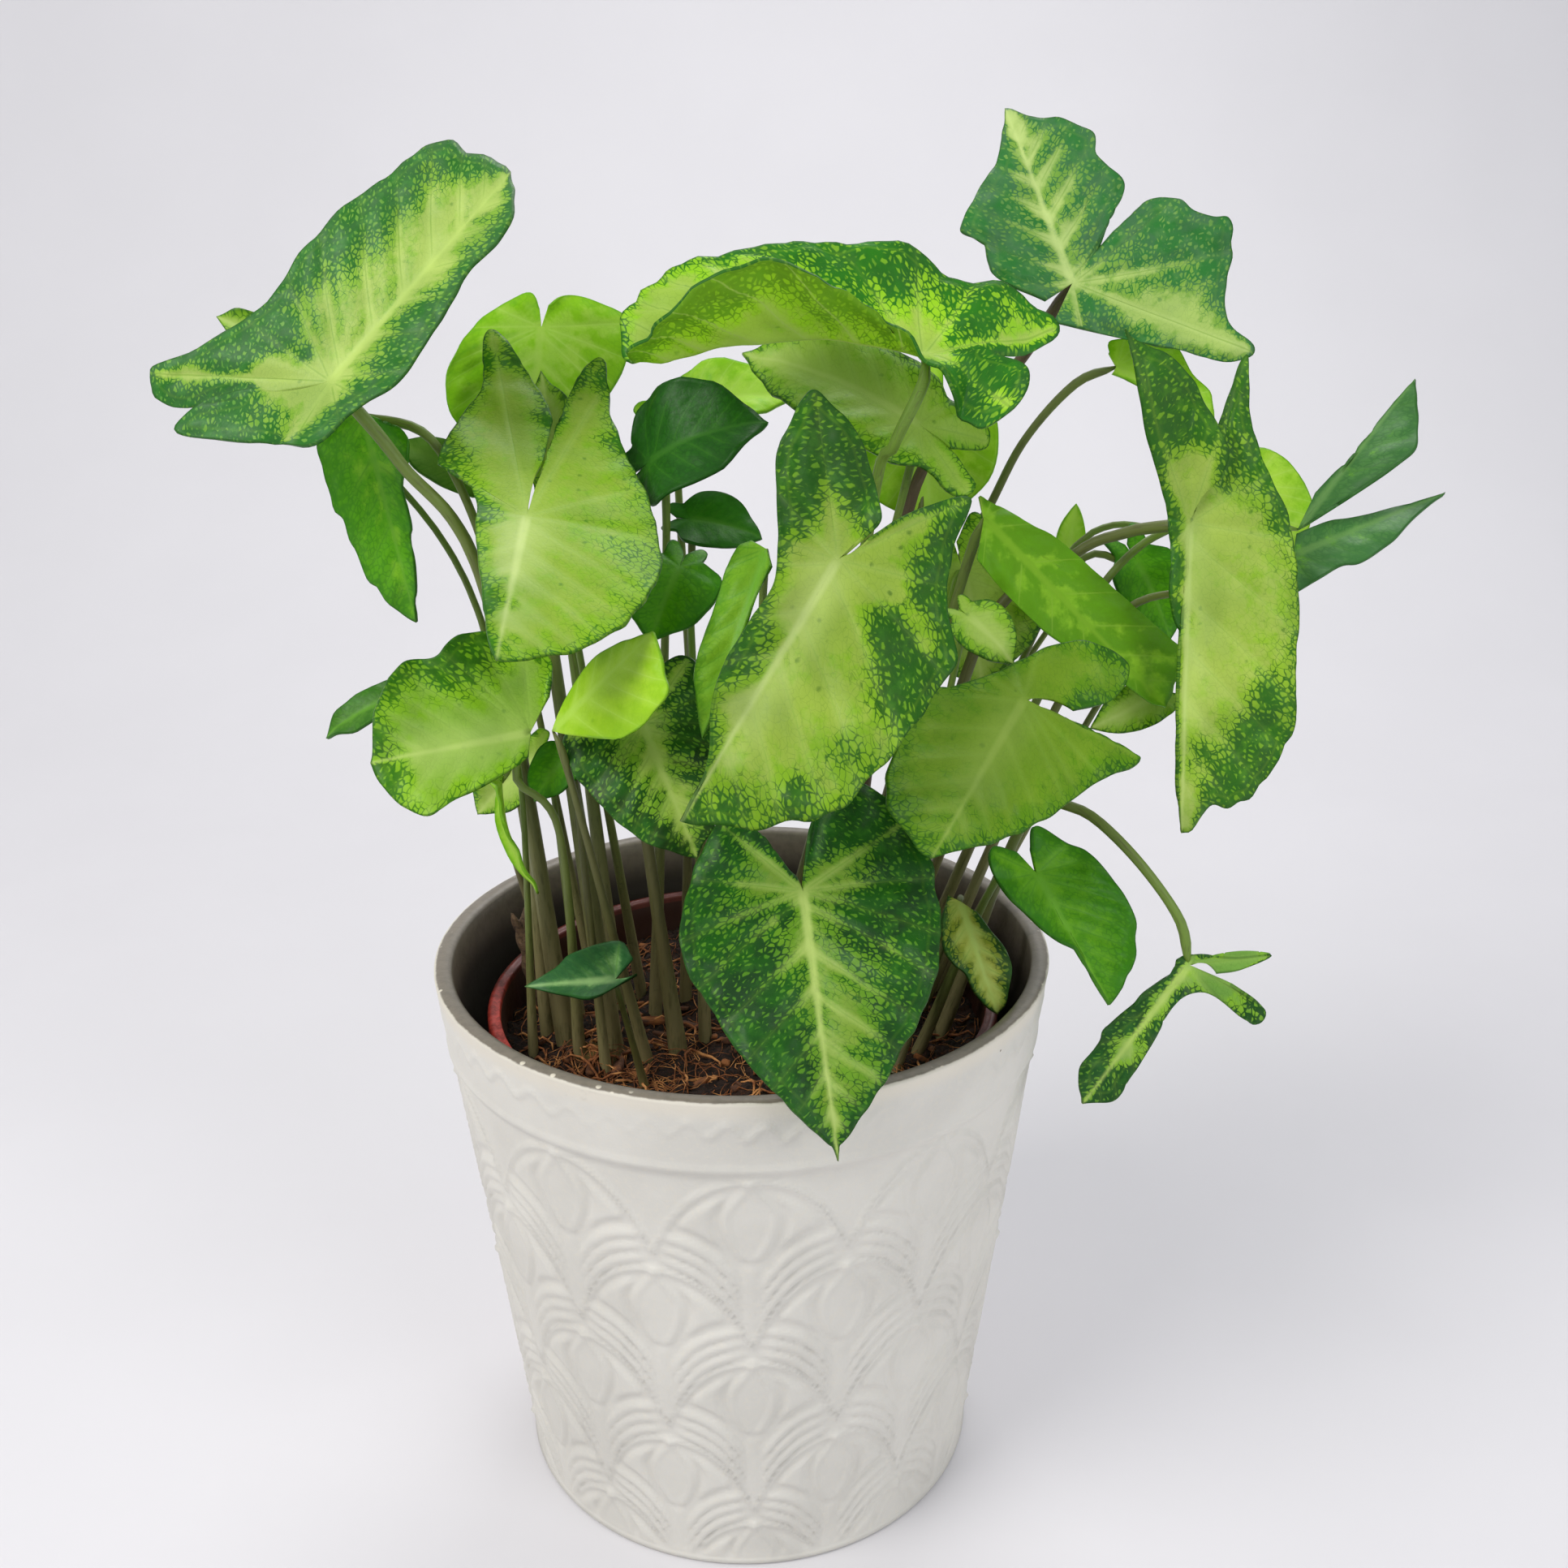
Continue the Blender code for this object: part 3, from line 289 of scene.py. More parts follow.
def palmetteRelief(turn, height, pot):
    # mm outwards; across is 0 at a bud and 1 between two, up is 2 from one row to the next
    relief = np.zeros_like(turn)
    free = np.ones(turn.shape, bool)
    half = pi / pot["motifs"]
    for row in range(-1, 5):
        middle = pot["lowestRow"] + pot["rowRise"] * row
        shift = radians(pot["turn"]) + (half if row % 2 else 0)
        across = np.abs((turn - shift + half) % (2 * half) - half) / half
        up = (height - middle) / (pot["rowRise"] / 2)
        other = 1 - across
        arch = pot["archTop"] - 1.1 * across**2 - 0.55 * across**4
        foot = pot["archTop"] - 2 - 1.1 * other**2 - 0.55 * other**4
        here = free & (up <= arch)
        free &= ~here
        below = arch - up
        ogee = 0.5 + 0.5 * np.cos(pi * np.clip(up / 0.86, 0, 1))
        bud = np.where(up > 0, ogee, 1 - np.clip(-up / 0.98, 0, 1) ** 1.8)
        bud = pot["budWidth"] * bud - across
        crown = -0.35 - 1.3 * other**3
        rib = (crown - up) / (crown - foot)
        rim = smooth(below, 0.0, 0.09) * smooth(below, 0.24, 0.09)
        budBody = smooth(np.abs(bud), pot["budLine"], 0.0) * smooth(np.abs(up), 0.95, 0.8)
        budBody = budBody + 0.55 * smooth(bud, 0.02, 0.1)
        fronds = np.abs(np.sin(pi * pot["fronds"] * np.clip(rib, 0, 1))) ** 0.7 * (rib > 0)
        fronds = fronds * smooth(across, 0.02, 0.2) * (0.1 + 0.9 * smooth(other, 0.02, 0.28))
        fronds = fronds * smooth(below, 0.02, 0.14)
        leaf = smooth(up - crown, 0.1, 0.26) * smooth(below, 0.28, 0.44) * smooth(bud, -0.11, -0.19)
        leaf = leaf * smooth(across, 0.76, 0.64)
        stalk = smooth(across, 0.12, 0.03) * smooth(up, -0.85, -1.1) * pot["stalk"]
        made = 0.7 * rim + 0.8 * budBody + 0.85 * fronds * (1 - stalk) + 0.85 * leaf + stalk
        relief = np.where(here, made, relief)
    return relief * pot["relief"] - pot["sunk"]


def makeCachepot(pot):
    low = pot["height"] - pot["band"]
    outer = [(pot["footRadius"] - 1.2, 0), (pot["footRadius"] - 0.3, 0.35)]
    for height in np.linspace(1.0, pot["height"] - pot["lip"], pot["rows"]):
        outer.append((pot["footRadius"] + flare(pot) * height / pot["height"], height))
    rim = []
    for turn in np.linspace(0.25, pi - 0.25, 7):
        out = pot["rimRadius"] - pot["wall"] / 2 + pot["wall"] / 2 * cos(turn) - 0.05
        rim.append((out, pot["height"] - pot["lip"] + pot["lip"] * sin(turn)))
    inside = pot["footRadius"] - pot["wall"] + 1
    reach = pot["rimRadius"] - pot["wall"] - inside
    rise = pot["innerHigh"] - pot["innerLow"]
    down = [
        (inside + reach * share, pot["innerLow"] + rise * share)
        for share in (1, 0.8, 0.6, 0.4, 0.2, 0.0)
    ]
    floor = [(inside - 3, pot["floor"]), (20, pot["floor"]), (0, pot["floor"])]
    shape = spinProfile([(0, 0.0), (30, 0.0)] + outer + rim + down + floor, pot["turns"])
    points = np.array([vert.co for vert in shape.verts]) / mm
    radius = np.hypot(points[:, 0], points[:, 1])
    turn = np.arctan2(points[:, 0], -points[:, 1])
    height = points[:, 2]
    wallRadius = pot["footRadius"] + flare(pot) * height / pot["height"]
    outside = (radius > wallRadius - 0.2) & (height > 0.9)
    body = smooth(height, 1.0, 4.0) * smooth(height, low - 0.2, low - 1.6)
    push = body * palmetteRelief(turn, height, pot)
    step = smooth(height, low - 0.4, low + 0.5)
    lowerEdge = smooth(np.abs(height - low - 1.2), 1.5, 0.2)
    wave = 0.5 + 0.5 * np.cos(turn * pot["scallops"] + 1.3 * np.sin(5 * turn))
    crest = pot["height"] - pot["scallopDrop"] - pot["scallopRise"] * wave - 0.7 * np.sin(9 * turn)
    zigzag = smooth(np.abs(height - crest), 1.4, 0.2) * (0.6 + 0.4 * np.sin(7 * turn + 1))
    push = push - pot["bandStep"] * (1 - step) + step * (0.3 * lowerEdge + 0.5 * zigzag - 0.5)
    push = push + 0.1 * np.sin(3 * turn + 0.05 * height) * smooth(height, 0, 20)
    push = np.where(outside, np.minimum(push, 0.3), 0.0)
    for vert, out, ring in zip(shape.verts, push, radius):
        if out:
            vert.co.x *= (ring + out) / ring
            vert.co.y *= (ring + out) / ring
    return shape


def ceramicFinish(pot):
    made = startFinish("creamCeramic")
    where = objectPlace(made)
    x, y, z = split(where)
    radius = fromAxis(x, y)
    blotch = cloud(where, 0.035, 4.0, 0.6)[0]
    grain = cloud(where, 0.9, 3.0, 0.6)[0]
    ragged = cloud(where, 0.22, 4.0, 0.65)[0]
    cream = mix(ease(blotch, 0.35, 0.7), pot["cream"], pot["creamDark"])
    cream = mix(ease(grain, 0.45, 0.75, 0, 0.25), cream, pot["creamWarm"])
    cream = mix(ease(z, 124.5, 128.5, 0.0, 0.55), cream, pot["creamWarm"])
    speck = cells(where, 0.11, "F1")
    spot = ease(speck[0], 0.045, 0.02)
    rare = ease(split(speck[1])[0], 0.72, 0.78)
    cream = mix(spot * rare, cream, pot["chip"])
    # the glaze starts where the wall turns in, along a ragged line
    depth = z * (flare(pot) / pot["height"]) + pot["footRadius"] - radius
    high = ease(z, 126.0, 127.0)
    inner = ease(depth - (ragged * 0.9 + 0.2), 0.0, 0.45) * high
    inside = depth.math("GREATER_THAN", 2.6) * z.math("GREATER_THAN", 2.5)
    inner = inner.math("MAXIMUM", inside)
    mottle = ease(cloud(where, 0.5, 3.0)[0], 0.35, 0.75, 0.0, 0.35)
    glaze = mix(mottle, pot["glaze"], pot["glazeDark"])
    # painted shade: below the rim the glaze darkens almost to glazePaintedShade, for the inside of
    # the pot lies in shadow
    glaze = mix(ease(z, 127.0, 118.0, 0.0, 0.95), glaze, pot["glazePaintedShade"])
    worn = cells(where, 0.42, "F1")
    worn = ease(worn[0], 0.3, 0.18) * ease(split(worn[1])[1], 0.8, 0.84)
    glaze = mix(worn * ease(depth, 2.6, 1.2) * high, glaze, pot["creamWarm"])
    rough = inner * -0.2 + (grain * 0.2 + 0.5)
    lumps = cloud(where, 0.25, 3.0)[0] * 2.0 + cloud(where, 1.6, 2.0)[0]
    return endFinish(made, mix(inner, cream, glaze), rough, lumps, 0.08, 0.5)


cream = ceramicFinish(cachepot)
finishPiece("cachepotShell", makeCachepot(cachepot), [cream], "ceramic", ["cachepot"])
print("cachepot made")


# Nursery pot: thin terracotta-coloured plastic with a doubled lip.
nurseryPot = {
    "top": 117, "rimRadius": 57, "footRadius": 43, "bottom": 6.3, "wall": 1.0, "lip": 1.6,
    "turns": 144,
    "red": (218, 70, 56), "redDark": (160, 48, 40), "dust": (190, 116, 102), "paintedShade": (58, 32, 24),
}


def makeNurseryPot(pot):
    low = pot["top"] - 4
    foot = pot["bottom"]
    under = pot["footRadius"] + flare(pot) * (low - foot) / (pot["top"] - foot)
    edge = pot["rimRadius"] + pot["lip"]
    inner = pot["rimRadius"] - pot["wall"]
    profile = [
        (0, foot), (pot["footRadius"] - 0.8, foot), (pot["footRadius"], foot + 0.8),
        (under, low - 0.1), (edge - 0.5, low + 0.1), (edge, low + 0.6), (edge, low + 1.6),
        (edge - 0.4, low + 2.0),
        (edge, low + 2.4), (edge, low + 3.4), (edge - 0.5, low + 3.9), (edge - 1.4, low + 4.0),
        (inner + 0.7, low + 3.6), (inner, low + 3.9), (inner - 0.3, low + 3.3),
        (under - pot["wall"], low - 1), (pot["footRadius"] - 1, foot + 1.4), (0, foot + 1.4),
    ]
    return spinProfile(profile, pot["turns"])


def plasticFinish(pot):
    made = startFinish("terracottaPlastic")
    where = objectPlace(made)
    scuff = cloud(moved(where, scale=(1, 1, 0.3)), 0.35, 4.0, 0.65)[0]
    base = mix(ease(scuff, 0.4, 0.65), pot["red"], pot["redDark"])
    dust = ease(cloud(where, 1.1, 3.0, 0.7)[0], 0.55, 0.75, 0, 0.3)
    base = mix(dust, base, pot["dust"])
    # painted shade: the inside, and the lip at the back and on the right, are darkened where they
    # lie in shadow
    x, y, z = split(where)
    radius = fromAxis(x, y)
    shadedInside = ease(radius, 56.4, 56.0) * ease(z, 116.2, 115.2)
    shadeSide = y.math("MAXIMUM", x * 0.8 - 12.0)
    back = ease(scuff * 30.0 + shadeSide, 0.0, 30.0) * 0.88
    base = mix(shadedInside.math("MAXIMUM", back), base, pot["paintedShade"])
    return endFinish(made, base, ease(scuff, 0.3, 0.7, 0.35, 0.6), scuff, 0.08)


finishPiece(
    "nurseryPotShell", makeNurseryPot(nurseryPot), [plasticFinish(nurseryPot)],
    "terracotta_plastic", ["grow_pot"],
)
print("nursery pot made")


# Potting mix: dark coir with loose fibres, husk chips and one olive lump.
pottingMix = {
    "top": 108, "most": 4.5, "radius": 55.0, "lowRadius": 41.6, "floor": 8.1, "grid": 150,
    "dark": (24, 14, 9), "brown": (66, 38, 22), "orange": (150, 86, 42), "lump": (98, 80, 36),
    "husk": ((112, 66, 36), (64, 38, 24), (150, 92, 48)),
    "coir": ((178, 108, 56), (112, 64, 34), (212, 148, 88)),
    "lumpAt": (-33, -13), "lumpSize": (6, 5), "lumpHeight": 3.6,
    "chips": 150, "chipSize": (2.5, 1.4, 0.9), "shreds": 26, "shredSize": (9.0, 2.2, 1.3),
    "fibres": 900, "fibreRadius": 0.16, "tuft": (-30.0, -26.0), "tuftSpread": 9,
}
mixRandom = np.random.default_rng(11)


def mixHeight(x, y):
    # the mix's top in mm, with the CAD's ripples and finer crumbs
    broad = sin(0.21 * x + 1.3) * cos(0.17 * y) + 0.5 * sin(0.43 * y + 0.29 * x)
    spot = Vector((x, y, 0))
    crumbs = 1.5 * noise.fractal(spot * 0.16, 0.6, 2.1, 4)
    crumbs += 0.8 * noise.fractal(spot * 0.6, 0.7, 2.1, 3)
    away = (np.array((x, y)) - pottingMix["lumpAt"]) / pottingMix["lumpSize"]
    lump = pottingMix["lumpHeight"] * np.exp(-(away @ away))
    return pottingMix["top"] + 0.9 * broad + crumbs + lump - 0.6


def makeMix(mixIn):
    shape = bmesh.new()
    verts, column, row = gridPlaces(shape, mixIn["grid"], mixIn["grid"])
    for vert, across, up in zip(verts, column, row):
        u = 2 * across / mixIn["grid"] - 1
        v = 2 * up / mixIn["grid"] - 1
        # square to disc
        x = mixIn["radius"] * u * (1 - v * v / 2) ** 0.5
        y = mixIn["radius"] * v * (1 - u * u / 2) ** 0.5
        vert.co = Vector((x, y, min(mixHeight(x, y), mixIn["top"] + mixIn["most"]))) * mm
    border = [edge for edge in shape.edges if edge.is_boundary]
    walls = bmesh.ops.extrude_edge_only(shape, edges=border)["geom"]
    shrink = mixIn["lowRadius"] / mixIn["radius"]
    for vert in [item for item in walls if isinstance(item, bmesh.types.BMVert)]:
        vert.co = Vector((vert.co.x * shrink, vert.co.y * shrink, mixIn["floor"] * mm))
    bmesh.ops.holes_fill(shape, edges=[edge for edge in shape.edges if edge.is_boundary], sides=0)
    bmesh.ops.recalc_face_normals(shape, faces=shape.faces)
    return shape


def mixFinish(mixIn):
    made = startFinish("coirMix")
    where = objectPlace(made)
    strand = moved(warped(where, 0.12, 14.0), scale=(0.25, 1.6, 1.0), turn=(0, 0, 0.6))
    threads = cloud(strand, 0.9, 5.0, 0.7)[0]
    crumb = cells(where, 0.55, "F1")
    base = mix(ease(threads, 0.42, 0.66), mixIn["dark"], mixIn["brown"])
    bright = ease(cloud(warped(where, 0.3, 6.0), 0.7, 5.0, 0.75)[0], 0.56, 0.72)
    base = mix(bright * 0.6, base, mixIn["orange"])
    x, y = split(where)[:2]
    middle, size = mixIn["lumpAt"], mixIn["lumpSize"]
    away = ((x - middle[0]) / (size[0] + 0.5)) ** 2 + ((y - middle[1]) / (size[1] + 0.5)) ** 2
    base = mix(ease(away, 1.3, 0.5), base, mixIn["lump"])
    base = mix(ease(crumb[0], 0.5, 0.1, 0, 0.35), base, (20, 14, 10))
    return endFinish(made, base, 0.95, threads + crumb[0], 0.9)


def chipFinish(name, first, second, pale=None):
    made = startFinish(name)
    where = objectPlace(made)
    grain = cloud(moved(warped(where, 0.2, 5.0), scale=(0.3, 1.2, 1.2)), 1.2, 4.0, 0.7)[0]
    tone = cells(where, 0.12, "F1")[1]
    base = mix(ease(grain, 0.35, 0.7), first, second)
    base = mix(0.35, base, mix(split(tone)[0], (40, 24, 14), second))
    if pale:
        base = mix(ease(cloud(where, 0.22, 2.0)[0], 0.48, 0.66), base, pale)
    return endFinish(made, base, 0.85, grain, 0.3)


def makeChips(mixIn):
    shape = bmesh.new()
    for i in range(mixIn["chips"] + mixIn["shreds"]):
        whole = mixIn["chipSize" if i < mixIn["chips"] else "shredSize"]
        size = np.array(whole) * mixRandom.uniform(0.5, 1.4, 3)
        made = bmesh.ops.create_icosphere(shape, subdivisions=2, radius=0.5)["verts"]
        reach = 50 * mixRandom.random() ** 0.5
        around = mixRandom.uniform(0, 2 * pi)
        x, y = reach * cos(around), reach * sin(around)
        turn = Matrix.Rotation(mixRandom.uniform(0, 2 * pi), 3, "Z")
        turn = turn @ Matrix.Rotation(mixRandom.uniform(-0.5, 0.5), 3, "X")
        middle = Vector((x, y, mixHeight(x, y) + 0.3))
        for vert in made:
            spot = np.array(vert.co)
            spot = np.sign(spot) * np.abs(2 * spot) ** 0.5 / 2 + mixRandom.uniform(-0.09, 0.09, 3)
            vert.co = (turn @ Vector(spot * size) + middle) * mm
    bmesh.ops.recalc_face_normals(shape, faces=shape.faces)
    return shape


def makeFibres(mixIn):
    curve = bpy.data.curves.new("fibreLines", "CURVE")
    curve.dimensions = "3D"
    curve.bevel_depth = mixIn["fibreRadius"] * mm
    curve.bevel_resolution = 0
    curve.use_fill_caps = True
    for i in range(mixIn["fibres"]):
        reach = 54 * mixRandom.random() ** 0.55
        around = mixRandom.uniform(0, 2 * pi)
        spot = np.array([reach * cos(around), reach * sin(around)])
        heading = mixRandom.uniform(0, 2 * pi)
        curl = mixRandom.normal(0, 0.35)
        length = mixRandom.uniform(4, 17)
        spline = curve.splines.new("POLY")
        spline.points.add(6)
        if i % 4 == 0:  # a tuft of loose fibres at the front left
            spot = mixIn["tuft"] + mixRandom.normal(0, mixIn["tuftSpread"], 2)
        rise = mixRandom.uniform(0, 2.4) if i % 3 == 0 else mixRandom.uniform(0, 0.8)
        thick = mixRandom.uniform(0.4, 1.2) if i % 9 else mixRandom.uniform(1.8, 2.8)
        for j, point in enumerate(spline.points):
            inside = min(1.0, 54.5 / max(np.hypot(*spot), 1.0))
            x, y = spot * inside
            height = mixHeight(x, y) + 0.1 + rise * sin(pi * j / 6)
            point.co = (x * mm, y * mm, height * mm, 1.0)
            point.radius = thick * (1 - 0.5 * abs(j / 3 - 1))
            heading += curl + mixRandom.normal(0, 0.25)
            spot = spot + length / 6 * np.array([cos(heading), sin(heading)])
    lines = bpy.data.objects.new("fibreLines", curve)
    bpy.context.scene.collection.objects.link(lines)
    ready = lines.evaluated_get(bpy.context.evaluated_depsgraph_get())
    mesh = bpy.data.meshes.new_from_object(ready)
    shape = bmesh.new()
    shape.from_mesh(mesh)
    bpy.data.objects.remove(lines)
    bpy.data.curves.remove(curve)
    bpy.data.meshes.remove(mesh)
    bmesh.ops.remove_doubles(shape, verts=shape.verts, dist=1e-7)
    bmesh.ops.recalc_face_normals(shape, faces=shape.faces)
    return shape


finishPiece("pottingMixBody", makeMix(pottingMix), [mixFinish(pottingMix)], "potting_mix", ["soil"])
husk = chipFinish("huskBrown", *pottingMix["husk"])
finishPiece("huskChips", makeChips(pottingMix), [husk], "potting_mix")
coir = chipFinish("coirOrange", *pottingMix["coir"])
finishPiece("coirFibres", makeFibres(pottingMix), [coir], "potting_mix")
print("potting mix made")


# Dry stub of a cut stem, split at its top.
dryStub = {
    "points": [(-49, 13, 102), (-50, 14, 110), (-51, 14, 120), (-53, 16, 131)], "radius": 2.2,
    "middle": (-52, 15),
    "light": (122, 96, 66), "dark": (66, 48, 32),
}


def makeStub(stub):
    shape = bmesh.new()
    line = evenLine(smoothLine(stub["points"], 8), 1.0)
    radii = [stub["radius"] * (0.9 + 0.12 * sin(0.9 * i)) for i in range(len(line))]
    tubeOn(shape, line, radii, 14)
    for vert in shape.verts:
        spot = vert.co / mm
        turn = np.arctan2(spot.y - stub["middle"][1], spot.x - stub["middle"][0])
        rough = noise.noise(Vector((2 * cos(turn), 2 * sin(turn), spot.z * 0.12)))
        out = Vector((cos(turn), sin(turn), 0)) * 0.35 * rough
        high = smooth(spot.z, 122, 130)
        drop = high * (1.6 + 2.2 * sin(3 * turn + 0.7) + 1.5 * sin(7 * turn))
        vert.co = (spot + out - Vector((0, 0, max(0.0, drop)))) * mm
    return shape


bark = chipFinish("dryStemBark", dryStub["light"], dryStub["dark"])
finishPiece("dryStub", makeStub(dryStub), [bark], "dry_stem", ["dried_stub"])
print("dry stub made")


# Leaves. Seat: where the stem meets the blade; tip: its point; face: where its upper side looks;
# foot: where the stem leaves the mix; stem: points from there up. A side lists the margin from the
# tip round to the sinus as (across, along) from the seat. Shape values without a unit are shares of
# the blade's length, and a pair is (left, right) with the tip up. seatShare and thin are shares of
# the stem's radius at its foot. A patch is (across, along, size, how much paler). A blade with
# its own sides is bent towards the eye, the others are bent along their length.
leafShape = {
    "footRadius": 1.6, "seatShare": 0.68, "thin": 0.22, "stemBrown": None, "width": 0.6,
    "lobeLength": 0.45, "lobeAngle": 152, "lobeWidth": 0.13, "waist": 0.27, "sinus": 180,
    "fold": 12, "lobeFold": None, "lift": 0.0, "arch": 0.1, "droop": 0.0, "tail": 10, "bend": 35,
    "wave": 0.02, "ripples": 6, "sway": 0.03, "lumps": 2.6, "ruffle": 1.3, "quilt": 1.0,
    "groove": 0.12, "thickness": 0.7, "folded": False, "turned": False, "look": None,
    "eye": (0, -335, 296), "patches": [],
}
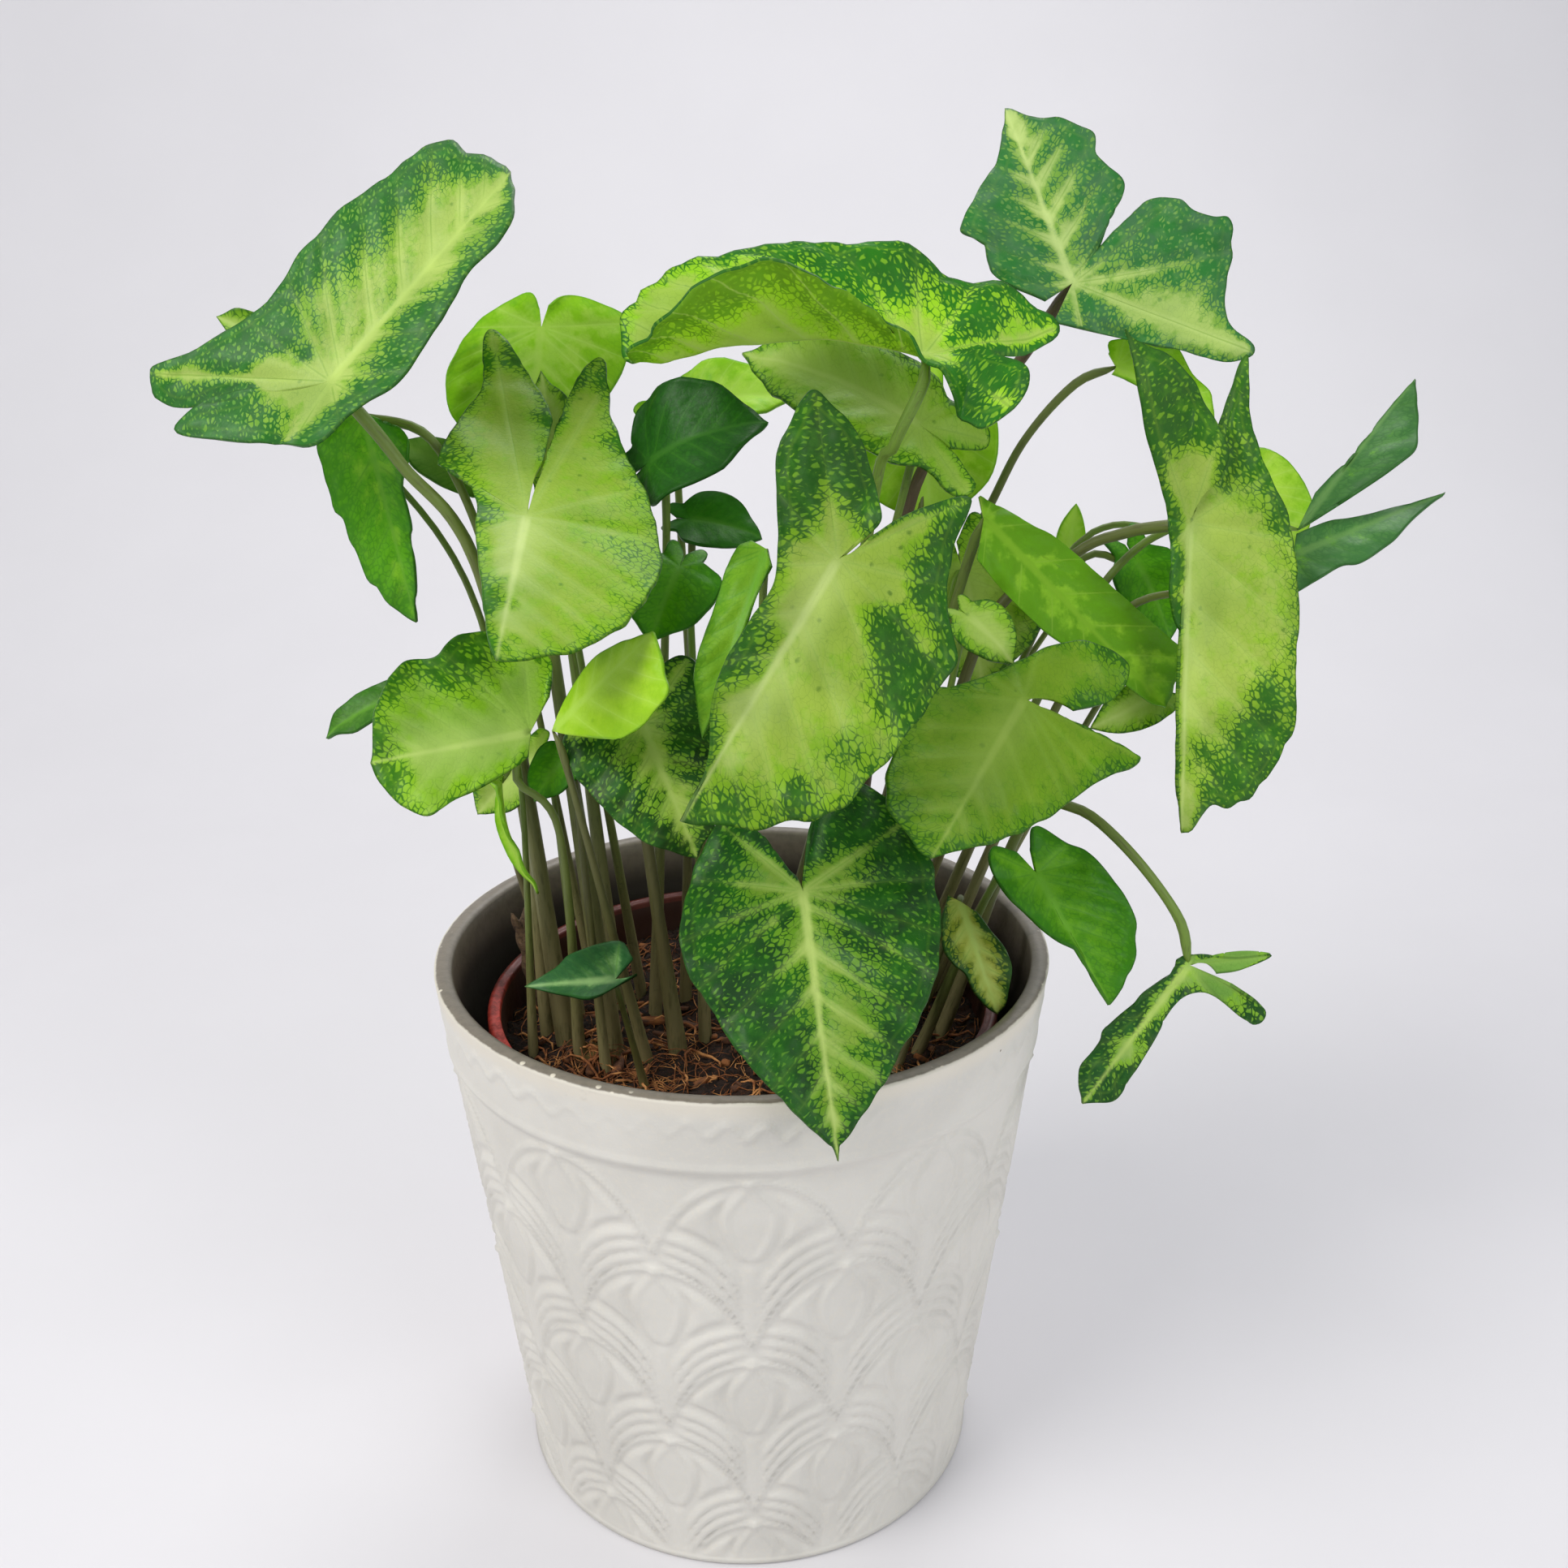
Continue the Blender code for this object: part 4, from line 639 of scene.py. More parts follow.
leaves = {
    "top_left": dict(
        tone="mottled", seat=(-80, -2, 256), tip=(-44, 18, 295), face=(-0.35, -0.75, 0.55),
        foot=(-41, -5), stem=[(-52, -2, 211), (-68, -2, 240)], sinus=222, fold=14, arch=0.06,
        droop=0.2, lift=(-0.1, 0.25), footRadius=2.4, stemBrown=0.35, fall=1.75, dark=(40, 106, 36),
        deepAndSheen=(58, 104, 60), speck=(74, 140, 66), heart=(160, 188, 98), cell=(130, 176, 60),
        # its greyish deepAndSheen colour paints a sheen on the dark parts
        feather=0.9, drift=0.8,
        minusSide=[(16, 55), (22, 51), (24, 42), (28, 29), (28, 16), (27, 6), (33, -10), (39, -20),
            (28, -23), (16, -12)],
        plusSide=[(4, 53), (9, 43), (8, 35), (10, 26), (12, 16), (13, 8), (9, -3), (7, -12),
            (-4, -18), (-22, -26), (-22, -18), (-15, -10)],
        patches=[(1, 43, 7, -0.45), (-6, 37, 8, 0.5), (-7, 45, 6, 0.4), (4, 30, 5, 0.6),
            (-13, 15, 8, 0.4), (-19, 11, 4, 0.4), (7, 19, 8, -0.5), (5, 49, 4, 0.7),
            (8, 40, 4, 0.6), (-19, 48, 3, 0.4), (-13, -5, 4, 0.5), (-1, -3, 4, 0.6),
            (-27, -8, 8, -0.9), (-32, -19, 5, -0.5), (-32, -14, 3, 0.5), (8, -6, 5, -0.6),
            (-14, -6, 4, 0.9), (-6, -5, 4, 0.9), (2, -5, 3, 0.6), (-24, -4, 4, -0.9),
            (-17, 1, 3.5, -1.0), (-10, 1, 3, -0.8), (-30, -14, 3, 0.5)],
    ),
    "left_hanging": dict(
        tone="plain", seat=(-77, 10, 248), tip=(-69, 6, 205), face=(-0.5, -0.75, 0.3),
        foot=(-46, 1), stem=[(-49, 2, 199), (-61, 8, 240)], arch=0.05, footRadius=1.7, sway=0.09,
        pale=0.55, fall=0.5, drift=1.8, heart=(128, 190, 40), feather=0.3,
        minusSide=[(3, 33), (5, 25), (6, 15), (10, 6), (4, 2)],
        plusSide=[(8, 38), (12, 27), (14, 18), (15, 6), (13, -1), (5, -2)],
    ),
    "back_left_round": dict(
        tone="bright", seat=(-43, 44, 262), tip=(-47, 34, 233), face=(0.1, -0.9, 0.3),
        foot=(-30, 10), stem=[(-38, 26, 192), (-44, 40, 219)], fold=6, arch=0.08, footRadius=2.0,
        pale=0.75, drift=1.9, feather=1.1, heart=(168, 216, 74), dark=(70, 150, 20), band=0.35,
        minusSide=[(9, 24), (17, 11), (21, -3), (13, -7), (5, -8), (1, -5)],
        plusSide=[(9, 30), (18, 21), (19, 12), (14, 1), (4, -7), (1, -4)],
    ),
    "left_front_pale": dict(
        tone="pale", seat=(-42, -10, 230), tip=(-44, -50, 212), face=(0.1, -0.75, 0.65),
        foot=(-30, -10), stem=[(-37, -4, 177), (-41, 0, 214)], sinus=178, fold=10, arch=0.08,
        droop=-0.2, footRadius=2.6, quilt=0.45, pale=1.2, fall=0.65, heart=(137, 170, 60),
        cell=(124, 171, 34), vein=(190, 212, 140), feather=0.4,
        minusSide=[(9, 41), (17, 35), (23, 26), (27, 12), (26, 0), (22, -15), (17, -27), (13, -40),
            (9, -59), (5, -54), (4, -43), (3, -28)],
        plusSide=[(2, 39), (5, 25), (9, 7), (10, -1), (13, -9), (18, -9), (20, -17), (18, -31),
            (15, -44), (17, -62), (15, -65), (11, -60), (6, -51), (0, -39), (-1, -32), (0, -20)],
        patches=[(13, -54, 5, -1.0), (0, -36, 4, -0.8), (16, -17, 5, -0.6), (7, 0, 4, -0.8),
            (2, 26, 5, -0.9), (0, 39, 4, -0.8), (-8, -51, 5, -0.8), (-15, -30, 5, -0.6),
            (-21, 9, 5, -0.45), (-11, -1, 6, -0.35)],
    ),
    "centre": dict(
        tone="pale", seat=(19, -34, 226), tip=(-11, -60, 184), face=(0.2, -0.85, 0.4),
        foot=(10, -10), stem=[(17, -12, 166), (18, -16, 203)], sinus=210, arch=0.08, droop=0.2,
        footRadius=2.6, pale=1.3, fall=0.65, dark=(22, 80, 12), deepAndSheen=(36, 76, 32),
        speck=(62, 122, 34), heart=(144, 174, 68), cell=(124, 170, 34), vein=(184, 206, 134),
        feather=0.4, drift=0.6,
        minusSide=[(6, 55), (14, 50), (21, 43), (25, 35), (27, 25), (28, 17), (29, 10), (29, 3),
            (23, -4), (18, -14), (16, -25), (8, -17), (3, -7)],
        plusSide=[(1, 46), (6, 36), (8, 28), (8, 19), (8, 10), (12, 2), (16, -4), (20, -11),
            (21, -19), (21, -25), (17, -25), (9, -23), (4, -19), (-3, -12), (-1, -7)],
        patches=[(17, -21, 8, -0.6), (11, -14, 7, -0.6), (-13, -1, 2.5, 0.9), (-18, 1, 2.5, 0.9),
            (-23, 4, 2.5, 0.9), (-9, -2, 2.5, 0.7), (-6, -9, 3, 0.9), (-9, -14, 3, 0.9),
            (-3, -4, 2.5, 0.8), (14, -17, 11, -1.0), (11, -3, 5, -1.0), (0, -13, 5, -0.9),
            (-15, -18, 10, -1.15), (-18, -5, 7, -0.85), (-15, 5, 6, -0.9), (-20, 9, 7, -1.0),
            (-23, 16, 5, -0.8), (-26, 3, 5, -0.8), (-21, 3, 3, 0.5), (4, 22, 6, -0.9),
            (5, 28, 4, -0.5), (-6, 48, 5, -0.9), (-16, 41, 5, -0.9), (-19, 29, 4, -0.7),
            (1, 40, 4, -0.5), (-1, 56, 6, -1.0)],
    ),
    "front_low": dict(
        tone="mottled", seat=(12, -44, 162), tip=(17, -80, 123), face=(0.05, -0.85, 0.5),
        foot=(6, -22), stem=[(12, -34, 148)], fold=8, arch=0.06, droop=-0.1, footRadius=2.2,
        pale=0.88, fall=1.5, dark=(27, 82, 18), deepAndSheen=(24, 58, 26), speck=(56, 118, 34),
        heart=(120, 155, 55), cell=(98, 146, 36), vein=(182, 206, 124), feather=0.9, drift=0.9,
        minusSide=[(0.3, 50.0), (1.5, 49.0), (4.2, 46), (8.3, 41.5), (12, 37), (15.5, 32),
            (18.8, 27), (22.5, 20), (26, 9), (26, -2), (23, -13), (17, -20), (10, -22), (4, -15),
            (2, -8)],
        plusSide=[(0.3, 50.0), (1.3, 49.2), (3.4, 46.5), (7, 42), (11.5, 36), (15.6, 30),
            (19.2, 24), (24, 12), (24, 2), (21, -6), (15, -16), (11, -15), (7, -13), (4, -7),
            (1, -3)],
        patches=[(-20, 0, 12, -0.6), (8, 30, 10, -0.6), (-11, 8, 5, -0.6), (10, 11, 6, -0.5),
            (10, 23, 7, -0.5), (-9, 38, 5, 0.8), (-7, 27, 6, 0.45), (-17, 15, 5, 0.4),
            (19, 11, 6, 0.3), (4, 4, 1.2, -3), (5, -4, 6, 0.5), (-9, -3, 5, 0.3),
            (14, -13, 6, -0.9), (-14, -14, 7, -0.9)],
    ),
    # right_front hangs in the plant's shade: its heart, cell, dark and vein colours are darker than
    # the pale tone's, painted shade
    "right_front": dict(
        tone="pale", seat=(58, -22, 194), tip=(36, -52, 172), face=(0.25, -0.75, 0.6),
        foot=(24, -8), stem=[(39, -8, 155), (55, -12, 184)], sinus=226, fold=8, arch=0.06,
        droop=0.1, lift=(-0.05, 0.1), footRadius=2.2, quilt=0.6, pale=1.2, fall=0.55,
        heart=(110, 148, 34), cell=(92, 140, 16), dark=(38, 92, 12), vein=(148, 178, 84), drift=0.6,
        minusSide=[(4, 38), (10, 30), (15, 22), (18, 14), (22, 5), (27, -4), (24, -5), (12, -3)],
        plusSide=[(8, 41), (13, 38), (16, 30), (17, 21), (18, 12), (14, 8), (8, -1), (4, -9),
            (0, -16), (-6, -22), (-12, -23), (-16, -22), (-16, -13), (-10, -5)],
        patches=[(0, 39, 6, -0.7), (0, 28, 6, -0.5), (9, 36, 4, -0.4), (-12, -8, 4, -0.8),
            (-10, -22, 4, -0.6), (-24, 0, 6, -0.4)],
    ),
    "right_hanging": dict(
        tone="mottled", seat=(95, 0, 225), tip=(95, -14, 160), face=(0.3, -0.9, 0.3), foot=(33, 5),
        stem=[(53, 14, 194), (74, 15, 215), (84, 10, 221), (89, 6, 223)], sinus=205, fold=18,
        arch=0.05, droop=0.1, lift=(-0.05, 0.25), footRadius=2.2, stemBrown=0.6, look="pale",
        pale=1.3, fall=0.7, heart=(158, 186, 84), cell=(138, 182, 48), dark=(32, 96, 20),
        deepAndSheen=(36, 82, 34), drift=0.6,
        minusSide=[(7, 61), (13, 60), (20, 55), (27, 45), (27, 34), (27, 24), (27, 13), (25, 1),
            (20, -9), (16, -17), (14, -23), (13, -34), (10, -29), (7, -14)],
        plusSide=[(-4, 59), (-7, 55), (-2, 45), (-5, 38), (-4, 27), (2, 21), (4, 15), (4, 7),
            (5, -1), (7, -9), (10, -17), (12, -25), (14, -33), (17, -37), (8, -34), (1, -30),
            (-5, -22), (-9, -15), (-7, -9)],
        patches=[(13, -35, 6, -1.3), (9, -29, 5, -0.9), (1, -24, 10, -1.4), (9, -18, 8, -0.9),
            (-1, -14, 4, 0.5), (4, -1, 4, -1.2), (3, 9, 3.5, -1.2), (2, 19, 3.5, -1.2),
            (-11, -28, 8, -1.4), (-14, -12, 7, -0.8), (-22, -2, 4, -0.8), (-18, 45, 8, -1.4),
            (-12, 57, 8, -1.4), (-3, 48, 4, -0.8), (-21, 35, 4, -0.8)],
    ),
    "top_right": dict(
        tone="mottled", seat=(72, 22, 272), tip=(59, 40, 307), face=(0.1, -0.8, 0.6), foot=(22, 11),
        stem=[(38, 26, 221), (55, 32, 244), (64, 32, 256)], sinus=245, fold=8, arch=0.06, droop=0.1,
        footRadius=2.4, stemBrown=0.95, fingers=0.5, vein=(196, 220, 146), pale=0.78, fall=1.1,
        # its greyish deepAndSheen colour paints a sheen on the dark parts
        dark=(44, 116, 52), deepAndSheen=(66, 112, 78), speck=(86, 140, 80), heart=(160, 190, 106),
        cell=(122, 166, 68),
        minusSide=[(2, 37), (6, 30), (10, 27), (16, 21), (19, 17), (15, 14), (16, 9), (15, 5),
            (7, -2)],
        plusSide=[(6, 37), (11, 36), (17, 31), (16, 26), (19, 21), (19, 17), (15, 13), (12, 10),
            (9.5, 7), (8.2, 5.4), (13, 8.3), (18.5, 11.2), (22, 12.8), (26, 12.9), (30.5, 11.5),
            (32, 8.5), (35.5, 6), (39, 4), (36, -5), (32, -12), (31, -19), (34, -24), (28, -26),
            (19, -21), (7, -15), (-7, -7)],
        patches=[(1, 39, 4, 0.6), (-7, 25, 10, -0.5), (16, 20, 5, -0.5), (14, 30, 4, -0.4),
            (-9, 7, 8, -0.6), (20, -14, 12, 0.5), (28, -21, 6, 0.5), (3, -6, 5, -0.7),
            (28, 9, 7, -1.0), (21, -3, 5, -0.5), (34, -3, 5, -0.5)],
    ),
    # top_centre's lower face, seen on its folded near half, gets under and cell colours far
    # brighter than the tone's: painted light against the shade that face is in
    "top_centre": dict(
        tone="mottled", seat=(38, -2, 260), tip=(-20, -10, 259), face=(0, -0.1, 0.99), foot=(13, 6),
        stem=[(28, 0, 227), (32, -4, 242), (38, -4, 255)], folded=True, fold=48, lobeFold=(-60, 45),
        lift=(0.4, 0.3), footRadius=2.2, show=0.7, stemBrown=0.1, pale=0.8, fall=1.1,
        dark=(42, 118, 22), deepAndSheen=(36, 96, 26), under=(168, 226, 30), cell=(150, 208, 36),
        minusSide=[(8, 57), (17, 50), (22, 40), (20, 28), (12, 16), (7, 7), (9, -1), (14, -7),
            (17, -14), (14, -20), (7, -20), (3, -12)],
        plusSide=[(8, 58), (17, 50), (22, 38), (24, 24), (23, 10), (20, -4), (16, -17), (9, -27),
            (4, -18), (2, -7)],
        patches=[(10, 50, 9, 0.9), (13, 42, 8, 0.7), (13, 36, 7, 0.5), (8, 41, 8, 0.6),
            (-7, 33, 8, 0.6), (14, 41, 3, -0.8), (12, 32, 3, -0.7), (-16, 38, 2.5, -0.6),
            (17, 9, 8, -0.4), (-7, -8, 7, -0.9), (-7, -15, 6, -1.0), (8, -10, 4, -0.8),
            (9, 1, 6, 0.5), (-2, -3, 4, 0.5)],
    ),
    "behind_top_centre": dict(
        tone="pale", seat=(39, 14, 244), tip=(2, 22, 258), face=(-0.1, -0.6, 0.8), foot=(6, 12),
        stem=[(36, 16, 227)], width=0.7, fold=5, bend=40,
    ),
    "bright_centre_back": dict(
        tone="bright", seat=(42, 40, 241), tip=(45, 32, 218), face=(0, -0.8, 0.6), foot=(15, 20),
        stem=[(40, 30, 209)], width=1.4, lobeLength=0.6,
    ),
    # dark_centre_left and dark_second fill the shaded middle of the clump: their dark colours are
    # painted shade
    "dark_centre_left": dict(
        tone="plain", seat=(-18, 12, 237), tip=(7, 6, 246), face=(-0.1, -0.7, 0.7), foot=(-21, 7),
        stem=[(-15, 14, 224)], width=1.0, lobeLength=0.35, bend=50, dark=(20, 72, 12),
        deepAndSheen=(14, 54, 14), cell=(34, 94, 18), speck=(24, 78, 14), heart=(50, 112, 26),
        vein=(60, 118, 36),
    ),
    "dark_second": dict(
        tone="plain", seat=(-10, 20, 223), tip=(6, 18, 219), face=(0, -0.7, 0.7), foot=(-14, 13),
        stem=[(-10, 20, 212)], width=0.9, lobeLength=0.4, footRadius=1.5, dark=(34, 98, 14),
        deepAndSheen=(24, 76, 14), cell=(48, 118, 20), speck=(38, 102, 16), heart=(60, 130, 26),
        vein=(80, 140, 44),
    ),
    "bright_back": dict(
        tone="bright", seat=(-12, 44, 243), tip=(14, 42, 247), face=(0, -0.6, 0.8), foot=(-8, 20),
        stem=[(-13, 36, 227)], width=0.8, lobeLength=0.5,
    ),
    "young_left": dict(
        tone="bright", seat=(-38, -20, 188), tip=(-16, -36, 213), face=(-0.2, -0.7, 0.7),
        foot=(-22, -15), stem=[(-35, -21, 178)], fold=-6, footRadius=1.5, heart=(164, 210, 52),
        cell=(150, 200, 40), dark=(120, 176, 26),
        minusSide=[(4, 27), (6, 16), (3, 4)],
        plusSide=[(9, 37), (14, 35), (14, 21), (6, 12)],
    ),
    "lower_left": dict(
        tone="pale", seat=(-43, -18, 187), tip=(-73, -32, 186), face=(-0.3, -0.8, 0.5),
        foot=(-37, -14), stem=[(-38, -19, 165), (-46, -21, 178)], fold=8, arch=0.06, footRadius=1.5,
        quilt=0.5, pale=1.2, fall=0.6, heart=(140, 182, 72), feather=0.3,
        minusSide=[(7, 31), (13, 26), (11, 19), (9, 12), (7, 6), (5, 2)],
        plusSide=[(5, 31), (9, 30), (14, 27), (20, 21), (20, 15), (23, 11), (24, 3), (20, -5),
            (15, -9), (7, -6)],
        patches=[(20, 6, 8, -1.0), (20, 15, 6, -0.6), (0, 30, 5, -0.8), (-4, 29, 4, -0.6),
            (13, 13, 6, -0.35), (16, 25, 4, -0.5), (6, 29, 3.5, -0.5)],
    ),
    "mottled_low": dict(
        tone="mottled", seat=(-20, -16, 188), tip=(-9, -29, 163), face=(-0.1, -0.9, 0.4),
        foot=(-15, -12), stem=[(-22, -12, 180)], fold=10, footRadius=2.2, pale=0.9, fall=1.0,
        dark=(34, 88, 20), deepAndSheen=(30, 58, 26),
        minusSide=[(7, 24), (12, 16), (15, 4), (15, -8), (9, -10), (4, -6)],
        plusSide=[(5, 26), (11, 19), (15, 10), (17, 3), (16, -4), (7, -5)],
        patches=[(13, 1, 7, -0.8), (9, 10, 7, -0.5), (-8, 4, 10, -1.0), (1, 8, 5, 0.6),
            (-3, 2, 4, 0.5), (9, 22, 5, -0.8), (-1, 27, 5, -0.3)],
    ),
    "narrow_folded": dict(
        tone="plain", seat=(6, -24, 226), tip=(-7, -40, 193), face=(-0.5, -0.8, 0.3), foot=(0, -4),
        stem=[(5, -14, 210)], fold=20, footRadius=1.5, pale=1.0, fall=0.7, heart=(128, 178, 44),
        cell=(112, 164, 32), dark=(76, 138, 16),
        minusSide=[(1, 24), (1, 12), (2, 3)],
        plusSide=[(4, 32), (7, 24), (7, 13), (7, 2), (4, -1)],
    ),
    "shaded_mid": dict(
        tone="plain", seat=(-12, 0, 217), tip=(-18, -12, 204), face=(0, -0.7, 0.7), foot=(-9, -6),
        stem=[(-10, 2, 206)], width=1.1, lobeLength=0.4, footRadius=1.5,
    ),
    "right_underside": dict(
        tone="plain", seat=(53, 8, 225), tip=(93, -4, 185), face=(0.3, -0.8, 0.5), foot=(21, 1),
        stem=[(48, 10, 207)], fold=-14, arch=0.06, footRadius=2.0, show=0.45, drift=1.4,
        turned=True, look="bright", under=(84, 136, 12), cell=(88, 142, 16), vein=(116, 164, 38),
        pale=0.6,
        minusSide=[(6, 55), (12, 58), (14, 56), (13, 49), (12, 39), (11, 29), (10, 16), (6, 4),
            (3, -4)],
        plusSide=[(2, 52), (3, 47), (4, 38), (8, 29), (9, 15), (8, 5)],
    ),
    "right_behind_pale": dict(
        tone="pale", seat=(51, 24, 210), tip=(56, 21, 184), face=(0, -0.8, 0.6), foot=(30, 13),
        stem=[(47, 20, 200)], width=1.3, lobeLength=0.5, waist=0.5, footRadius=1.5,
    ),
    "right_behind_dark": dict(
        tone="plain", seat=(91, 26, 211), tip=(98, 20, 194), face=(0.2, -0.8, 0.5), foot=(36, 22),
        stem=[(73, 26, 204)], width=0.9, lobeLength=0.5, footRadius=1.5,
    ),
    "far_right_upper": dict(
        tone="plain", seat=(124, 16, 220), tip=(150, 26, 251), face=(-0.4, -0.6, 0.7),
        foot=(39, 14), stem=[(77, 16, 201), (103, 20, 222)], fold=10, arch=0.05, dark=(48, 100, 52),
        deepAndSheen=(36, 80, 46), cell=(74, 126, 66), speck=(56, 106, 54), vein=(110, 156, 90),
        minusSide=[(-1, 35), (-2, 25), (1, 17), (2, 9)],
        plusSide=[(6, 34), (10, 27), (8, 23), (3, 20), (1, 10)],
    ),
    "far_right_lower": dict(
        tone="plain", seat=(122, 12, 215), tip=(158, 20, 227), face=(-0.1, -0.6, 0.8), foot=(42, 6),
        stem=[(78, 12, 194), (103, 14, 208)], fold=10, arch=0.05, dark=(50, 104, 56),
        deepAndSheen=(38, 84, 50), cell=(78, 130, 70), speck=(58, 110, 58), vein=(110, 156, 90),
        minusSide=[(1, 30), (3, 18), (5, 11), (5, 4)],
        plusSide=[(2, 30), (6, 21), (8, 12), (7, 7), (9, -5)],
    ),
    "behind_right_hanging": dict(
        tone="bright", seat=(116, 30, 227), tip=(126, 24, 211), face=(0.2, -0.8, 0.5),
        foot=(30, 29), stem=[(75, 36, 207), (101, 36, 217)], fold=5, footRadius=1.5,
        minusSide=[(9, 15), (13, 10), (13, 0), (8, -6), (1, -5)],
        plusSide=[(5, 16), (10, 10), (9, 4), (5, 0)],
    ),
    "behind_top_right": dict(
        tone="bright", seat=(84, 28, 254), tip=(105, 22, 242), face=(0.1, -0.8, 0.5), foot=(23, 21),
        stem=[(47, 30, 198), (59, 34, 224), (66, 34, 238), (76, 32, 250)], fold=8, arch=0.05,
        footRadius=1.8,
        minusSide=[(6, 21), (8, 15), (12, 9), (10, 3), (5, -4), (2, -3)],
        plusSide=[(2, 21), (2, 15), (1, 7), (2, 0)],
    ),
    "low_right": dict(
        tone="plain", seat=(62, -24, 156), tip=(76, -38, 132), face=(0.5, -0.75, 0.4),
        foot=(40, -12), stem=[(55, -16, 151)], fold=10, arch=0.06, footRadius=1.5, pale=0.95,
        fall=1.2, drift=1.4, heart=(96, 160, 12), cell=(74, 140, 8), dark=(34, 98, 8), feather=0.8,
        minusSide=[(8, 28), (12, 25), (17, 19), (18, 13), (17, 8), (15, 1), (11, -3), (6, -9),
            (2, -5)],
        plusSide=[(-1, 26), (-1, 20), (1, 17), (5, 12), (9, 2), (10, -4), (7, -9), (2, -6)],
    ),
    "pot_right": dict(
        tone="plain", seat=(47, -18, 147), tip=(54, -30, 126), face=(0.3, -0.8, 0.5),
        foot=(34, -20), stem=[(47, -12, 142)], fold=10, footRadius=1.3, look="mottled", pale=1.15,
        fall=1.1, heart=(170, 176, 76), cell=(134, 152, 48), dark=(40, 76, 28),
        minusSide=[(3, 23), (6, 18), (7, 14), (5, 8), (3, 3)],
        plusSide=[(3, 20), (4, 15), (6, 12), (7, 8), (5, 2), (2, -2)],
    ),
    "trailing": dict(
        tone="mottled", seat=(95, -28, 136), tip=(72, -36, 107), face=(0.2, -0.85, 0.5),
        foot=(46, -4), stem=[(62, -6, 160), (71, -14, 167), (81, -22, 161), (92, -27, 147)],
        sinus=215, fold=8, arch=0.04, footRadius=1.8, pale=0.75, fall=1.3, dark=(26, 78, 30),
        heart=(112, 160, 70), band=0.15,
        minusSide=[(5, 33), (5, 27), (4, 18), (3, 11), (4, 5), (9, 2), (19, 2), (19, -2), (10, -2)],
        plusSide=[(5, 32), (5, 25), (6, 22), (4, 17), (4, 11), (2, 4), (2, -1), (-7, -7),
            (-13, -12), (-10, -6), (-6, -2)],
        patches=[(-9, 1, 7, 1.2), (-8, -6, 6, 1.2), (2, 16, 4, -1.0), (-4, 22, 4, 0.9),
            (-3, 13, 4, 0.7), (2, 30, 4, -0.9), (-4, 30, 4, -0.7)],
    ),
    "on_soil": dict(
        tone="plain", seat=(-27, -30, 136), tip=(-45, -36, 138), face=(-0.2, -0.5, 0.85),
        foot=(-22, -26), stem=[], fold=6, footRadius=1.2, pale=0.6, fall=1.2, dark=(34, 84, 46),
        deepAndSheen=(24, 62, 38), cell=(56, 112, 62), speck=(40, 90, 50), heart=(120, 170, 104),
        vein=(150, 190, 130),
        minusSide=[(3, 11), (4, 5), (-1, -5)],
        plusSide=[(4, 12), (8, 7), (10, -3), (5, -5)],
    ),
    "young_rolled": dict(
        tone="bright", seat=(-51, -10, 173), tip=(-44, -14, 149), face=(-0.9, -0.3, 0.3),
        foot=(-48, -10), stem=[(-47, -8, 173)], width=0.16, lobeLength=0.05, fold=50,
        footRadius=1.2,
    ),
    "dark_round_low": dict(
        tone="plain", seat=(-36, -12, 180), tip=(-43, -16, 171), face=(-0.3, -0.8, 0.5),
        foot=(-31, -18), stem=[(-35, -12, 174)], width=0.9, lobeLength=0.4, footRadius=1.3,
    ),
    "under_left": dict(
        tone="pale", seat=(-46, 11, 172), tip=(-60, 10, 158), face=(-0.3, -0.9, 0.3), foot=(-39, 8),
        stem=[(-43, 11, 168)], width=0.7, lobeLength=0.3, footRadius=1.2,
    ),
    "tip_behind_left": dict(
        tone="plain", seat=(-77, 18, 184), tip=(-94, 16, 175), face=(-0.3, -0.6, 0.7),
        foot=(-44, 13), stem=[(-64, 17, 184)], width=0.5, lobeLength=0.3, footRadius=1.2, pale=0.5,
        heart=(84, 136, 50), cell=(70, 124, 38), dark=(42, 92, 20), deepAndSheen=(30, 72, 18),
    ),
    "small_wavy_left": dict(
        tone="plain", seat=(-57, 20, 233), tip=(-73, 22, 240), face=(-0.2, -0.8, 0.6),
        foot=(-36, 17), stem=[(-52, 18, 224)], lobeLength=0.4, footRadius=1.3, pale=1.0,
        heart=(112, 156, 64), cell=(98, 144, 52), dark=(70, 118, 34), vein=(130, 170, 80),
    ),
    "grey_between": dict(
        tone="pale", seat=(-38, 22, 230), tip=(-42, 30, 254), face=(0, -0.8, 0.6), foot=(-25, 18),
        stem=[(-39, 20, 220)], width=0.5, lobeLength=0.3, footRadius=1.4,
    ),
    "grey_right": dict(
        tone="pale", seat=(93, 6, 185), tip=(77, 0, 180), face=(0.2, -0.8, 0.5), foot=(46, 14),
        stem=[(89, 14, 194)], lobeLength=0.4, footRadius=1.3,
    ),
    "tip_behind_top": dict(
        tone="pale", seat=(-93, 16, 261), tip=(-107, 18, 267), face=(-0.2, -0.8, 0.5),
        foot=(-47, 20), stem=[(-57, 16, 203), (-80, 16, 242)], width=0.55, lobeLength=0.3,
        footRadius=1.3,
    ),
    "two_tips": dict(
        tone="bright", seat=(79, 46, 205), tip=(81, 48, 220), face=(0.1, -0.9, 0.3), foot=(18, 38),
        stem=[(77, 44, 193)], width=0.5, lobeLength=0.2, footRadius=1.3,
    ),
    "light_right_mid": dict(
        tone="pale", seat=(49, -2, 206), tip=(58, -8, 197), face=(0.1, -0.8, 0.6), foot=(31, -3),
        stem=[(48, 4, 197)], width=0.9, lobeLength=0.4, footRadius=1.4,
    ),
}
